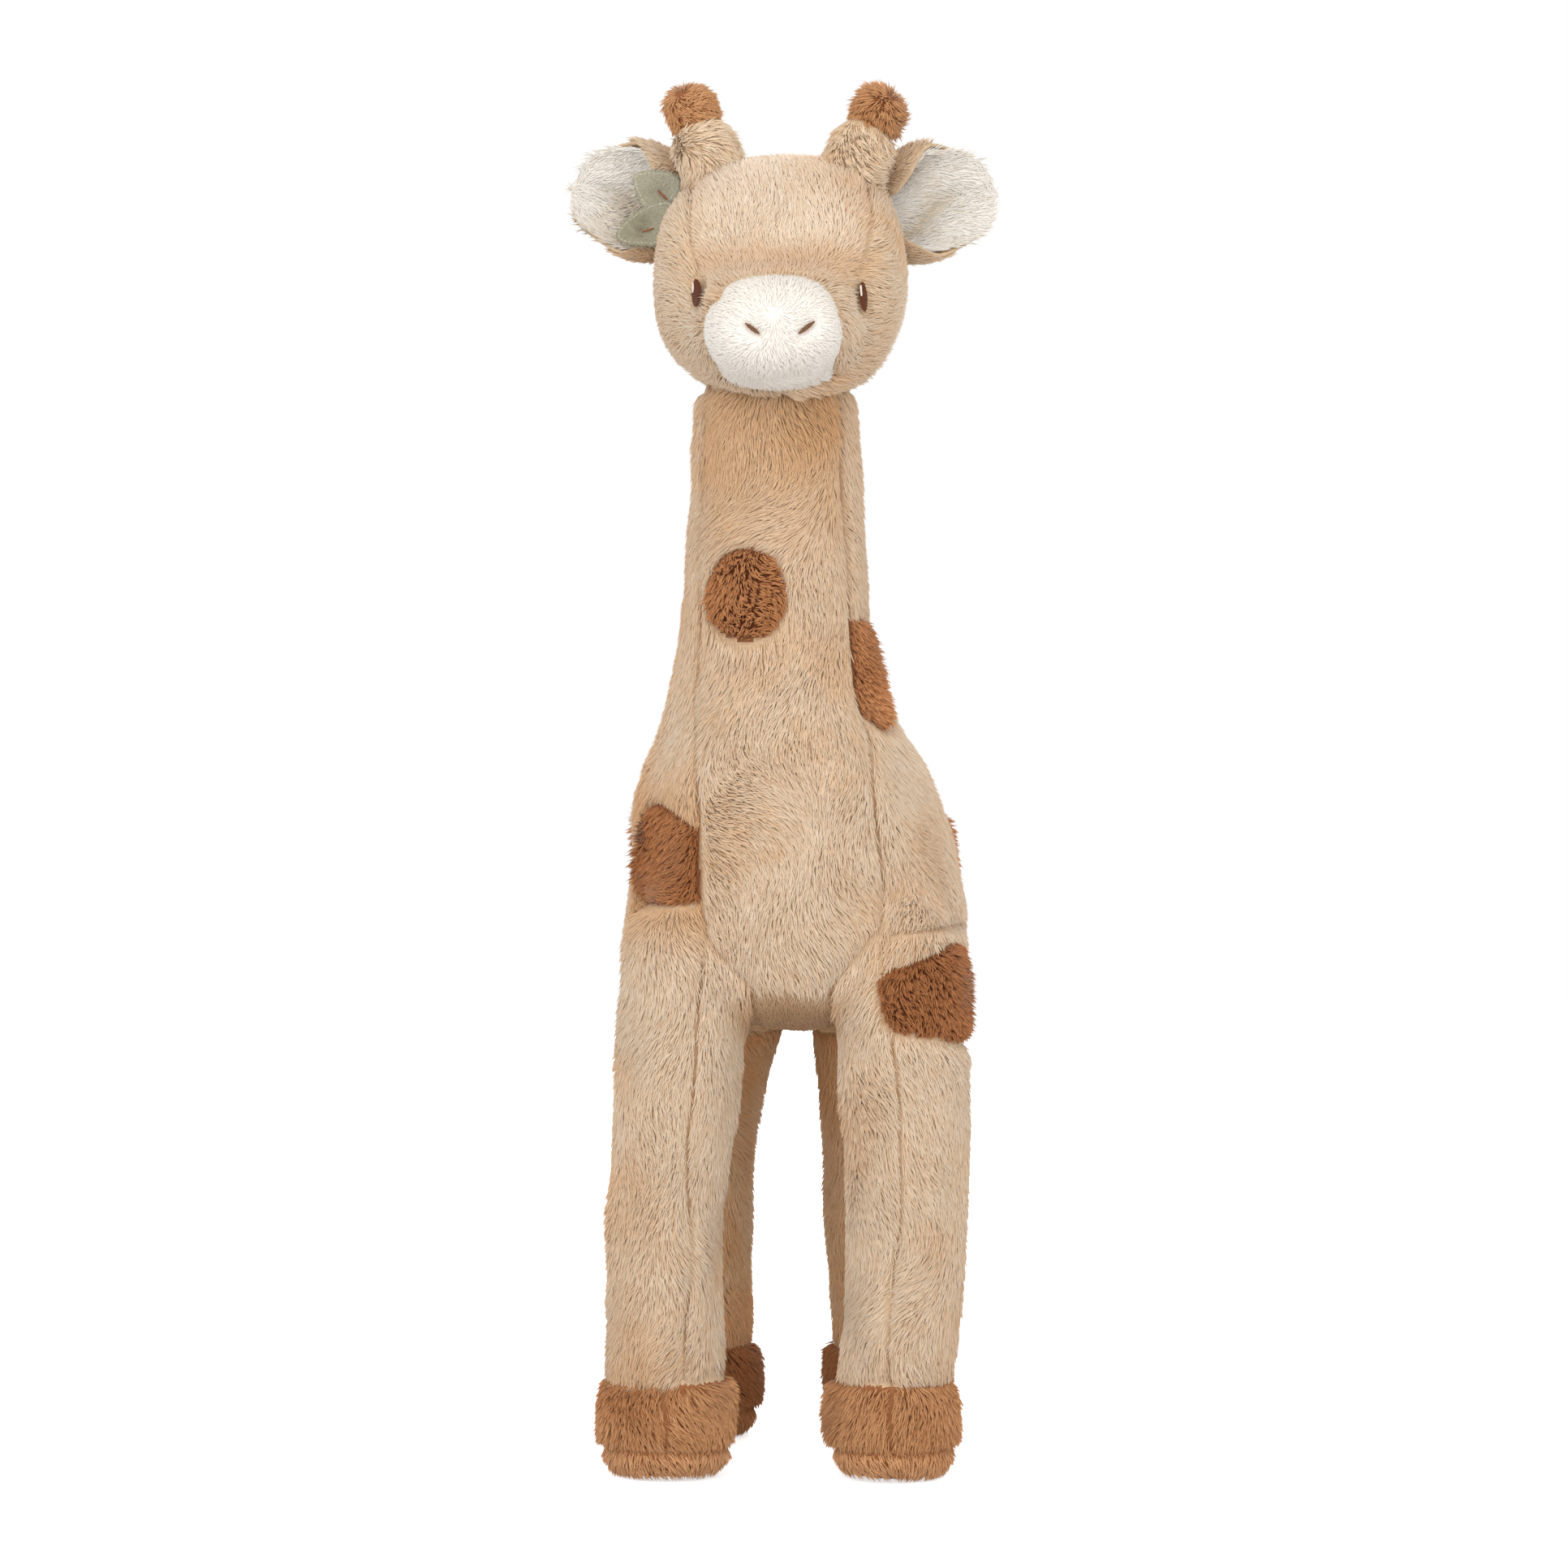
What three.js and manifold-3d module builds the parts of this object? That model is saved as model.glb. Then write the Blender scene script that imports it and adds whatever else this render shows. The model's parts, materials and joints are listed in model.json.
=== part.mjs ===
// A standing plush giraffe: sewn plush covers over fibre filling, two felt leaves by one ear.
// Millimetres, +Z up. The toy faces -Y, so its own left is +X.
import * as THREE from 'three';
import { mergeVertices } from 'three/addons/utils/BufferGeometryUtils.js';
import Module from 'manifold-3d';

const wasm = await Module();
wasm.setup();

// Cloth and clearances
const clothThickness = 3.2; // plush with its pile pressed flat
const seamGap = 0.3; // between pieces that are sewn together
const seatGap = 0.3; // between a ball and its socket
const moveGap = 0.6; // round a piece that moves past another
const threadThickness = 0.9; // satin stitch standing on the cloth
const fillingOpening = 9; // radius of the hole that the filling passes through

// Torso
const torsoWidth = 122;
const torsoLength = 168;
const torsoHeight = 124;
const bellyHeight = 160;
const torsoForward = 72; // from the frame's middle to the chest
const torsoBluntness = 3.2;
const torsoSquareness = 2.4;
const torsoPear = 0.08; // how much wider it is low down
const rumpTaper = 0.12;

// Neck
const neckRootRadius = 44; // the ball that it turns on
const neckRootEase = 2.5; // how much slimmer the neck itself starts
const neckTopRadius = 29;
const neckPivotRise = 96; // over the belly
const neckPivotForward = 18;
const neckLength = 124; // from its pivot to the head's pivot
const neckTopForward = 32;
const neckDomeHeight = 22; // the end that stands inside the head
const neckRootDepth = 4; // how far the column reaches into its ball, below the pivot
const neckFlare = 1.5;
const neckBendForward = 15; // degrees
const neckBendBack = 12; // degrees

// Head
const headLength = 126;
const headWidth = 92;
const headHeight = 89;
const chinRise = 8; // underside of the head over its pivot
const headForward = 114; // from the frame's middle to the nose
const headBluntness = 3.5;
const headSquareness = 2.4;
const skullStart = [0.08, 0.55]; // shares of the length over which the muzzle widens into the skull
const muzzleWidth = 49;
const muzzleHeight = 40;
const muzzleDrop = 2; // underside of the muzzle below the skull's
const muzzleDepth = 22; // length of the white nose piece
const muzzleTopOverhang = 5; // how much shorter it is under the chin

// Embroidery
const eyeSpacing = 59.6;
const eyeRise = 36.5; // over the underside of the head
const eyeWide = 3.2;
const eyeTall = 10.4;
const highlightWide = 1.3;
const highlightTall = 3.6;
const highlightRise = 2;
const highlightShift = 0.5;
const nostrilLength = 7.4;
const nostrilWide = 1.6;
const nostrilSpacing = 20;
const nostrilRise = 24; // over the underside of the muzzle
const nostrilTilt = 42; // degrees

// Ears and leaves
const earLength = 42;
const earHeight = 46;
const earCup = 9;
const earRootRise = 74;
const earRootForward = 26;
const earSeamAllowance = 1.3; // of the root behind the head's cloth
const earRootLevel = 0.85; // share of the cup's depth at which the fold's axis lies
const earBackThickness = 2.8;
const earLiningThickness = 2.2;
const earRim = 3.2; // plush edge left showing round the lining
const earSweep = 12; // degrees that the ears point backwards
const earLift = 9; // degrees that the ears point upwards
const earFoldForward = 15; // degrees
const earFoldBack = 25; // degrees
const leafLength = 17;
const leafWide = 13.5;
const leafFullness = 0.85; // under 1 puts the widest part nearer the tip
const feltThickness = 1.2;
const leafOpen = 35; // degrees
const leafAngles = { upper: 38, lower: -34 }; // degrees above the ear's long axis
const leafStitchOut = 2.4; // from the head's skin to the stitched ends
const leafTilt = 18; // degrees that the tips stand off the ear
const leafLift = 0.5; // the thickness of the stitches under them
const leafStitchApart = 5;

// Ossicones
const ossiconeRadius = 11.3;
const ossiconeBallRadius = 12.4;
const ossiconeLength = 42;
const ossiconeTipLength = 16;
const ossiconeSpacing = 45;
const ossiconeLean = 23; // degrees outwards
const ossiconeSink = 11; // its pivot below the crown
const ossiconePivotForward = 40;
const ossiconeCloth = 2;
const ossiconeFlex = 15; // degrees

// Legs
const legSpread = 41; // from the middle to a leg's axis
const frontLegForward = 44;
const rearLegBack = 64;
const hipRise = 28; // over the belly
const hipRadius = 24.6;
const thighRadius = 24.2;
const shinRadius = 21;
const ankleRadius = 21.6;
const shinHeight = 92;
const hoofRadius = 24.3;
const hoofHeight = 36;
const soleSeamHeight = 12;
const soleRadius = 18;
const legDepthRatio = 1.06; // front to back against side to side
const legSwingFree = 22; // degrees, front legs forwards and rear legs backwards
const legSwingUnder = 8; // degrees, towards the other pair

// Tail
const tailRootRise = 74; // over the belly
const tailRadius = 4.4;
const tailBallRadius = 6;
const tailLength = 72;
const tuftLength = 26;
const tuftRadius = 7.5;
const tailSwing = 30; // degrees each way

// Gussets
const gussetTopHalf = 26;
const gussetFootHalf = 30;
const gussetThroatSpread = 1; // how much wider it is low on the throat
const gussetEndShare = 0.35; // how much of its foot is straight
const gussetFootRise = 36; // over the belly
const bellyPanelHalf = 15;
const bellyPanelRise = 24;
const browTopHalf = 33;
const browFootHalf = 23;
const browFootShare = 0.55; // of the muzzle's height

// Spots: outlines about their middles, and the way that each faces in degrees from the front.
// Rise is a share of the neck or the torso, and back is a share of the torso from the chest.
// A turn is towards the toy's own left, and on a leg towards its outer side.
const neckSpots = [
  { name: 'throat', panel: 'throat', turn: 0, across: -13, rise: 0.51,
    corners: [[0, 17], [12, 11], [14, 0], [11, -12], [0, -17], [-11, -12], [-14, 0], [-12, 11]] },
  { name: 'left', panel: 'left', turn: 68, rise: 0.28,
    corners: [[-6, 20], [8, 18], [15, 2], [10, -18], [-4, -21], [-13, -4]] },
  { name: 'right', panel: 'right', turn: -80, rise: 0.72,
    corners: [[0, 15], [11, 6], [9, -12], [-6, -14], [-12, 2]] },
];
const bodySpots = [
  { name: 'right_shoulder', panel: 'right', turn: -52, back: 0.38, rise: 0.51,
    corners: [[-2, 19], [12, 13], [15, -8], [9, -18], [-12, -17], [-14, 6]] },
  { name: 'left_flank', panel: 'left', turn: 90, back: 0.56, rise: 0.52,
    corners: [[-14, 18], [9, 20], [19, 2], [10, -18], [-12, -15], [-20, 2]] },
  { name: 'right_flank', panel: 'right', turn: -90, back: 0.67, rise: 0.56,
    corners: [[-10, 16], [12, 15], [17, -3], [6, -16], [-14, -13]] },
  { name: 'left_rump', panel: 'left', turn: 128, back: 0.71, rise: 0.58,
    corners: [[-8, 14], [10, 12], [13, -6], [-2, -14], [-13, -3]] },
];
const legSpots = [
  { leg: 'front_left', turn: 55, drop: 22,
    corners: [[-15, 5], [-12, 14], [12, 14], [17, 2], [13, -14], [-12, -13]] },
  { leg: 'rear_right', turn: 90, drop: 48,
    corners: [[-10, 14], [9, 15], [15, 0], [8, -15], [-9, -12], [-15, 2]] },
];

// Facet counts
const bodyAround = 16;
const legAround = 10;
const smallAround = 8;
const bodyRings = 9;
const neckBallAround = 16;
const legBallAround = 10;
const smallBallAround = 8;
const ballRings = 6;
const neckRings = 5;
const neckDomeRings = [30, 62]; // degrees up the dome
const earAround = 12;
const eyePoints = 10;
const glintPoints = 6;
const nostrilPoints = 8;
const leafPoints = 6;
const sweepStep = 11; // degrees between the positions that a moving piece is cleared at
const farAway = 700;

// Places that follow from the sizes
const bodyMiddleY = torsoLength / 2 - torsoForward;
const neckPivotHeight = bellyHeight + neckPivotRise;
const neckTopHeight = neckPivotHeight + neckLength;
const headBaseHeight = neckTopHeight + chinRise;
const muzzleBase = headBaseHeight - muzzleDrop;
const earSink = clothThickness + earSeamAllowance; // the root is sewn through the head's seam
const crownHeight = headBaseHeight + headHeight;
const eyeHeight = headBaseHeight + eyeRise;
const nostrilHeight = muzzleBase + nostrilRise;
const earRootHeight = headBaseHeight + earRootRise;
const ossiconePivotHeight = crownHeight - ossiconeSink;
const hipHeight = bellyHeight + hipRise;
const tailRootHeight = bellyHeight + tailRootRise;
const gussetFootHeight = bellyHeight + gussetFootRise;
const radians = THREE.MathUtils.degToRad;
const axisX = new THREE.Vector3(1, 0, 0);
const axisY = new THREE.Vector3(0, 1, 0);
const axisZ = new THREE.Vector3(0, 0, 1);

// Solids

function solidOf(geometry) {
  const bare = geometry.clone();
  bare.deleteAttribute('normal');
  bare.deleteAttribute('uv');
  const merged = mergeVertices(bare, 1e-4);
  const mesh = new wasm.Mesh({
    numProp: 3,
    vertProperties: Float32Array.from(merged.attributes.position.array),
    triVerts: Uint32Array.from(merged.index.array),
  });
  return new wasm.Manifold(mesh);
}

function geometryOf(solid) {
  const mesh = solid.getMesh();
  const geometry = new THREE.BufferGeometry();
  geometry.setAttribute('position', new THREE.BufferAttribute(mesh.vertProperties, 3));
  geometry.setIndex(new THREE.BufferAttribute(mesh.triVerts, 1));
  return geometry;
}

const joined = (solids) => solids.reduce((whole, solid) => whole.add(solid));
const cutBy = (solid, tools) => tools.reduce((rest, tool) => rest.subtract(tool), solid);

// A closed skin through rings, with a point at each end.
// A ring has a centre, two half axes and the power of its rounded-square section.
function skinThrough(rings, firstEnd, lastEnd, around) {
  const points = [...firstEnd.toArray()];
  for (const ring of rings) {
    for (let step = 0; step < around; step++) {
      const angle = (2 * Math.PI * step) / around;
      const u = Math.sign(Math.cos(angle)) * Math.abs(Math.cos(angle)) ** (2 / ring.power);
      const v = Math.sign(Math.sin(angle)) * Math.abs(Math.sin(angle)) ** (2 / ring.power);
      const pear = 1 - (ring.pear ?? 0) * v;
      const point = ring.centre.clone().addScaledVector(ring.across, u * pear).addScaledVector(ring.up, v);
      points.push(...point.toArray());
    }
  }
  points.push(...lastEnd.toArray());
  const faces = [];
  const last = rings.length * around + 1;
  for (let step = 0; step < around; step++) {
    const next = (step + 1) % around;
    faces.push(0, 1 + next, 1 + step);
    for (let ring = 0; ring + 1 < rings.length; ring++) {
      const here = 1 + ring * around;
      const there = here + around;
      faces.push(here + step, here + next, there + next, here + step, there + next, there + step);
    }
    faces.push(last, last - around + step, last - around + next);
  }
  const geometry = new THREE.BufferGeometry();
  geometry.setAttribute('position', new THREE.Float32BufferAttribute(points, 3));
  geometry.setIndex(faces);
  return facingOut(geometry);
}

function facingOut(geometry) {
  const index = geometry.index.array;
  const a = new THREE.Vector3();
  const b = new THREE.Vector3();
  const c = new THREE.Vector3();
  let volume = 0;
  for (let face = 0; face < index.length; face += 3) {
    a.fromBufferAttribute(geometry.attributes.position, index[face]);
    b.fromBufferAttribute(geometry.attributes.position, index[face + 1]);
    c.fromBufferAttribute(geometry.attributes.position, index[face + 2]);
    volume += a.dot(b.cross(c));
  }
  if (volume < 0) geometry.setIndex(Array.from(index).reverse());
  return geometry;
}

// The same skin moved outwards along its normals, or inwards by a negative distance
function grown(skin, distance) {
  const moved = skin.clone();
  moved.computeVertexNormals();
  const place = moved.attributes.position;
  const normal = moved.attributes.normal;
  for (let i = 0; i < place.count; i++) {
    place.setXYZ(
      i,
      place.getX(i) + normal.getX(i) * distance,
      place.getY(i) + normal.getY(i) * distance,
      place.getZ(i) + normal.getZ(i) * distance,
    );
  }
  return solidOf(moved);
}

// A ball whose rings of facets lie round its hinge's axis
function ball(centre, radius, around, axis = axisX) {
  return ballAlong(centre, radius, radius, around, axis);
}

function ballAlong(centre, halfLength, radius, around, axis) {
  const sphere = new THREE.SphereGeometry(1, around, ballRings).scale(radius, halfLength, radius);
  const upright = new THREE.Quaternion().setFromUnitVectors(axisY, axis);
  return solidOf(sphere.applyQuaternion(upright).translate(centre.x, centre.y, centre.z));
}

// A socket whose flat facets stay clear of such a ball while it turns on its hinge
function socket(centre, radius, around, axis = axisX) {
  const reach = radius + seatGap;
  return ballAlong(centre, reach, reach / Math.cos(Math.PI / around), around, axis);
}

function box(low, high) {
  const size = high.clone().sub(low);
  const middle = high.clone().add(low).multiplyScalar(0.5);
  return solidOf(new THREE.BoxGeometry(size.x, size.y, size.z).translate(middle.x, middle.y, middle.z));
}

const above = (height) => box(
  new THREE.Vector3(-farAway, -farAway, height),
  new THREE.Vector3(farAway, farAway, farAway),
);
const below = (height) => box(
  new THREE.Vector3(-farAway, -farAway, -farAway),
  new THREE.Vector3(farAway, farAway, height),
);
const beside = (side, distance) => (side > 0
  ? box(new THREE.Vector3(distance, -farAway, -farAway), new THREE.Vector3(farAway, farAway, farAway))
  : box(new THREE.Vector3(-farAway, -farAway, -farAway), new THREE.Vector3(-distance, farAway, farAway)));

// A straight-sided plug with this outline, standing on a place and facing outwards
function plug(outline, place, facing, reachIn, reachOut) {
  const shape = new THREE.Shape(outline);
  const prism = new THREE.ExtrudeGeometry(shape, { depth: reachIn + reachOut, bevelEnabled: false });
  prism.translate(0, 0, -reachIn);
  const out = facing.clone().normalize();
  const across = new THREE.Vector3().crossVectors(axisZ, out).normalize();
  const up = new THREE.Vector3().crossVectors(out, across);
  prism.applyMatrix4(new THREE.Matrix4().makeBasis(across, up, out).setPosition(place));
  return solidOf(prism);
}

const ovalOutline = (wide, tall, points) => new THREE.EllipseCurve(0, 0, wide / 2, tall / 2)
  .getPoints(points).slice(0, points);

// An outline through corners about its middle, grown evenly by an extra margin
function spotOutline(corners, extra = 0) {
  const points = corners.map(([x, y]) => new THREE.Vector2(x, y));
  const reach = points.reduce((sum, point) => sum + point.length(), 0) / points.length;
  return points.map((point) => point.multiplyScalar(1 + extra / reach));
}

function turned(solid, pivot, axis, degrees) {
  const turn = new THREE.Matrix4().makeTranslation(pivot.x, pivot.y, pivot.z)
    .multiply(new THREE.Matrix4().makeRotationAxis(axis, radians(degrees)))
    .multiply(new THREE.Matrix4().makeTranslation(-pivot.x, -pivot.y, -pivot.z));
  return solidOf(geometryOf(solid).applyMatrix4(turn));
}

// Everything that a solid passes through while it turns from one angle to another
function sweptSpace(solid, pivot, axis, from, to) {
  const steps = Math.ceil((to - from) / sweepStep);
  const stops = Array.from({ length: steps + 1 }, (_, i) => from + ((to - from) * i) / steps);
  return joined(stops.map((degrees) => turned(solid, pivot, axis, degrees)));
}

// Forms: the outer shape of each stuffed part, moved out or in by a distance

function torsoSkin() {
  const rings = [];
  for (let i = 1; i < bodyRings; i++) {
    const along = -Math.cos((Math.PI * i) / bodyRings);
    const fullness = (1 - Math.abs(along) ** torsoBluntness) ** (1 / torsoBluntness);
    const halfHeight = (torsoHeight / 2) * (1 - (rumpTaper * (1 + along)) / 2);
    rings.push({
      centre: new THREE.Vector3(0, bodyMiddleY + (along * torsoLength) / 2, bellyHeight + halfHeight),
      across: new THREE.Vector3((torsoWidth / 2) * fullness, 0, 0),
      up: new THREE.Vector3(0, 0, halfHeight * fullness),
      power: torsoSquareness,
      pear: torsoPear,
    });
  }
  const chest = new THREE.Vector3(0, bodyMiddleY - torsoLength / 2, bellyHeight + torsoHeight / 2);
  const rumpHeight = bellyHeight + (torsoHeight / 2) * (1 - rumpTaper);
  const rump = new THREE.Vector3(0, bodyMiddleY + torsoLength / 2, rumpHeight);
  return skinThrough(rings, chest, rump, bodyAround);
}

function neckColumnSkin() {
  const rings = [];
  for (let i = 0; i <= neckRings; i++) {
    const rise = i / neckRings;
    const spread = neckRootRadius - neckRootEase - neckTopRadius;
    const across = neckTopRadius + spread * (1 - rise) ** neckFlare;
    rings.push({
      centre: new THREE.Vector3(
        0,
        THREE.MathUtils.lerp(-neckPivotForward, -neckTopForward, rise),
        THREE.MathUtils.lerp(neckPivotHeight, neckTopHeight, rise),
      ),
      across: new THREE.Vector3(across, 0, 0),
      up: new THREE.Vector3(0, neckTopRadius + spread * (1 - rise), 0),
      power: 2,
    });
  }
  for (const angle of neckDomeRings) {
    const radius = neckTopRadius * Math.cos(radians(angle));
    rings.push({
      centre: new THREE.Vector3(
        0, -neckTopForward, neckTopHeight + neckDomeHeight * Math.sin(radians(angle)),
      ),
      across: new THREE.Vector3(radius, 0, 0),
      up: new THREE.Vector3(0, radius, 0),
      power: 2,
    });
  }
  const root = new THREE.Vector3(0, -neckPivotForward, neckPivotHeight - neckRootDepth);
  const top = new THREE.Vector3(0, -neckTopForward, neckTopHeight + neckDomeHeight);
  return skinThrough(rings, root, top, bodyAround);
}

function headSkin() {
  const rings = [];
  const skullMiddle = headBaseHeight + headHeight / 2;
  const muzzleMiddle = muzzleBase + muzzleHeight / 2;
  for (let i = 1; i < bodyRings; i++) {
    const along = (1 - Math.cos((Math.PI * i) / bodyRings)) / 2;
    const fullness = (1 - Math.abs(2 * along - 1) ** headBluntness) ** (1 / headBluntness);
    const skull = THREE.MathUtils.smoothstep(along, ...skullStart);
    const halfWidth = THREE.MathUtils.lerp(muzzleWidth, headWidth, skull) / 2;
    const halfHeight = THREE.MathUtils.lerp(muzzleHeight, headHeight, skull) / 2;
    rings.push({
      centre: new THREE.Vector3(
        0,
        -headForward + headLength * along,
        THREE.MathUtils.lerp(muzzleMiddle, skullMiddle, skull),
      ),
      across: new THREE.Vector3(halfWidth * fullness, 0, 0),
      up: new THREE.Vector3(0, 0, halfHeight * fullness),
      power: headSquareness,
    });
  }
  const nose = new THREE.Vector3(0, -headForward, muzzleMiddle);
  const back = new THREE.Vector3(0, -headForward + headLength, skullMiddle);
  return skinThrough(rings, nose, back, bodyAround);
}

// A leg's radius at each height, from the sole to the hip
function legSkin(hip) {
  const profile = [
    [0, soleRadius],
    [soleSeamHeight * 0.4, THREE.MathUtils.lerp(soleRadius, hoofRadius, 0.7)],
    [soleSeamHeight, hoofRadius],
    [THREE.MathUtils.lerp(soleSeamHeight, hoofHeight, 0.45), hoofRadius],
    [hoofHeight, ankleRadius],
    [shinHeight, shinRadius],
    [THREE.MathUtils.lerp(shinHeight, hipHeight, 0.5), thighRadius],
    [hipHeight, hipRadius * 0.9],
  ];
  const rings = profile.map(([height, radius]) => ({
    centre: new THREE.Vector3(hip.x, hip.y, height),
    across: new THREE.Vector3(radius, 0, 0),
    up: new THREE.Vector3(0, radius * (height < hipHeight ? legDepthRatio : 1), 0),
    power: 2,
  }));
  const sole = new THREE.Vector3(hip.x, hip.y, 0);
  const top = new THREE.Vector3(hip.x, hip.y, hipHeight + 1);
  return skinThrough(rings, sole, top, legAround);
}

function ossiconeSkin() {
  const profile = [
    [0, ossiconeBallRadius * 0.85],
    [ossiconeLength * 0.3, ossiconeRadius],
    [ossiconeLength - ossiconeTipLength, ossiconeRadius * 0.96],
    [ossiconeLength - ossiconeTipLength * 0.55, ossiconeRadius * 0.98],
    [ossiconeLength - ossiconeTipLength * 0.2, ossiconeRadius * 0.74],
    [ossiconeLength - ossiconeTipLength * 0.05, ossiconeRadius * 0.4],
  ];
  const rings = profile.map(([height, radius]) => ({
    centre: new THREE.Vector3(0, 0, height),
    across: new THREE.Vector3(radius, 0, 0),
    up: new THREE.Vector3(0, radius, 0),
    power: 2,
  }));
  const start = new THREE.Vector3(0, 0, -1);
  const end = new THREE.Vector3(0, 0, ossiconeLength);
  return skinThrough(rings, start, end, smallAround);
}

function tailSkin(root) {
  const drop = tailRadius + moveGap;
  const profile = [
    [0, 0, tailRadius * 0.9],
    [drop, tailRadius, tailRadius],
    [drop, tailLength * 0.35, tailRadius],
    [drop, tailLength - tuftLength, tailRadius * 0.9],
    [drop, tailLength - tuftLength * 0.7, tuftRadius * 0.9],
    [drop, tailLength - tuftLength * 0.3, tuftRadius],
    [drop, tailLength - tuftLength * 0.06, tuftRadius * 0.5],
  ];
  const rings = profile.map(([back, down, radius]) => ({
    centre: new THREE.Vector3(root.x, root.y + back, root.z - down),
    across: new THREE.Vector3(radius, 0, 0),
    up: new THREE.Vector3(0, radius, 0),
    power: 2,
  }));
  const start = new THREE.Vector3(root.x, root.y, root.z + 1);
  const end = new THREE.Vector3(root.x, root.y + drop, root.z - tailLength);
  return skinThrough(rings, start, end, smallAround);
}

// How far back the ear's cup lies at a share of its outline
const cupRise = (level) => earCup * (earRootLevel - level ** 2);

// A cupped oval panel that runs along +X, its hollow facing -Y. Its fold lies at the origin, with
// the root sewn in behind that. Levels are shares of the full outline, and front and rear are
// distances behind the cup's own surface.
function cuppedPanel(levels, front, rear) {
  const halfLong = earLength / 2;
  const rings = [];
  const pointAt = (level, angle, behind) => new THREE.Vector3(
    halfLong * (1 + level * Math.cos(angle)) - earSink,
    behind + cupRise(level),
    (earHeight / 2) * level * Math.sin(angle),
  );
  const places = [pointAt(0, 0, front), pointAt(0, 0, rear)];
  for (const behind of [front, rear]) {
    for (const level of levels) {
      const ring = [];
      for (let step = 0; step < earAround; step++) {
        ring.push(places.length);
        places.push(pointAt(level, (2 * Math.PI * step) / earAround, behind));
      }
      rings.push(ring);
    }
  }
  const faces = [];
  const count = levels.length;
  const band = (inner, outer) => {
    for (let step = 0; step < earAround; step++) {
      const next = (step + 1) % earAround;
      faces.push(inner[step], outer[step], outer[next], inner[step], outer[next], inner[next]);
    }
  };
  for (let step = 0; step < earAround; step++) {
    const next = (step + 1) % earAround;
    faces.push(0, rings[0][step], rings[0][next]);
    faces.push(1, rings[count][next], rings[count][step]);
  }
  for (let level = 0; level + 1 < count; level++) {
    band(rings[level], rings[level + 1]);
    band(rings[count + level + 1], rings[count + level]);
  }
  band(rings[count - 1], rings[2 * count - 1]);
  const geometry = new THREE.BufferGeometry();
  const values = places.flatMap((place) => place.toArray());
  geometry.setAttribute('position', new THREE.Float32BufferAttribute(values, 3));
  geometry.setIndex(faces);
  return facingOut(geometry);
}

// Materials

const fabric = (color, roughness) => new THREE.MeshStandardMaterial({ color, roughness, metalness: 0 });
const plush = (color) => fabric(color, 0.95);
const thread = (color) => fabric(color, 0.6);
const finishes = {
  tan: () => plush(0xd6b896),
  paleTan: () => plush(0xe6d0b4),
  brown: () => plush(0x96643e),
  hoof: () => plush(0xb08058),
  white: () => plush(0xe6e0d8),
  felt: () => plush(0xa8a38a),
  darkThread: () => thread(0x64371e),
  whiteThread: () => thread(0xf2efe8),
  filling: () => plush(0xf4f2ee),
};

// The scene graph: one group for each moving body, standing at its pivot

const toy = new THREE.Group();
toy.userData.pivot = new THREE.Vector3();

function bodyAt(parent, pivot) {
  const group = new THREE.Group();
  group.userData.pivot = pivot.clone();
  group.position.copy(pivot).sub(parent.userData.pivot);
  parent.add(group);
  return group;
}

function addPiece(body, name, solid, finish) {
  const pivot = body.userData.pivot;
  const mesh = new THREE.Mesh(geometryOf(solid).translate(-pivot.x, -pivot.y, -pivot.z), finishes[finish]());
  mesh.name = name;
  body.add(mesh);
}

// A thin patch of stitching that lies on a skin, inside an outline
function stitchedOn(skin, tool, lift) {
  return grown(skin, lift + threadThickness).subtract(grown(skin, lift)).intersect(tool);
}

const sides = { left: 1, right: -1 };

// The level direction at an angle from straight ahead, towards the toy's left
function facingTurned(degrees) {
  const angle = radians(degrees);
  return new THREE.Vector3(Math.sin(angle), -Math.cos(angle), 0);
}

// Pivots

const neckPivot = new THREE.Vector3(0, -neckPivotForward, neckPivotHeight);
const headPivot = new THREE.Vector3(0, -neckTopForward, neckTopHeight);
const tailPivot = new THREE.Vector3(0, bodyMiddleY + torsoLength / 2, tailRootHeight);

// Legs: cover, filling, hoof and sole, and the space that each leg swings through

function limb(end, side) {
  const forward = end === 'front' ? -frontLegForward : rearLegBack;
  const hip = new THREE.Vector3(sides[side] * legSpread, forward, hipHeight);
  const skin = legSkin(hip);
  const swing = end === 'front' ? [-legSwingFree, legSwingUnder] : [-legSwingUnder, legSwingFree];
  const solidAt = (distance) => grown(skin, distance).add(ball(hip, hipRadius + distance, legBallAround));
  const space = sweptSpace(grown(skin, moveGap), hip, axisX, ...swing)
    .intersect(below(hipHeight + hipRadius * 0.3))
    .add(socket(hip, hipRadius, legBallAround));
  return { name: `${end}_${side}`, side, hip, space, solidAt };
}

const limbs = ['front', 'rear'].flatMap((end) => Object.keys(sides).map((side) => limb(end, side)));

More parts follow.
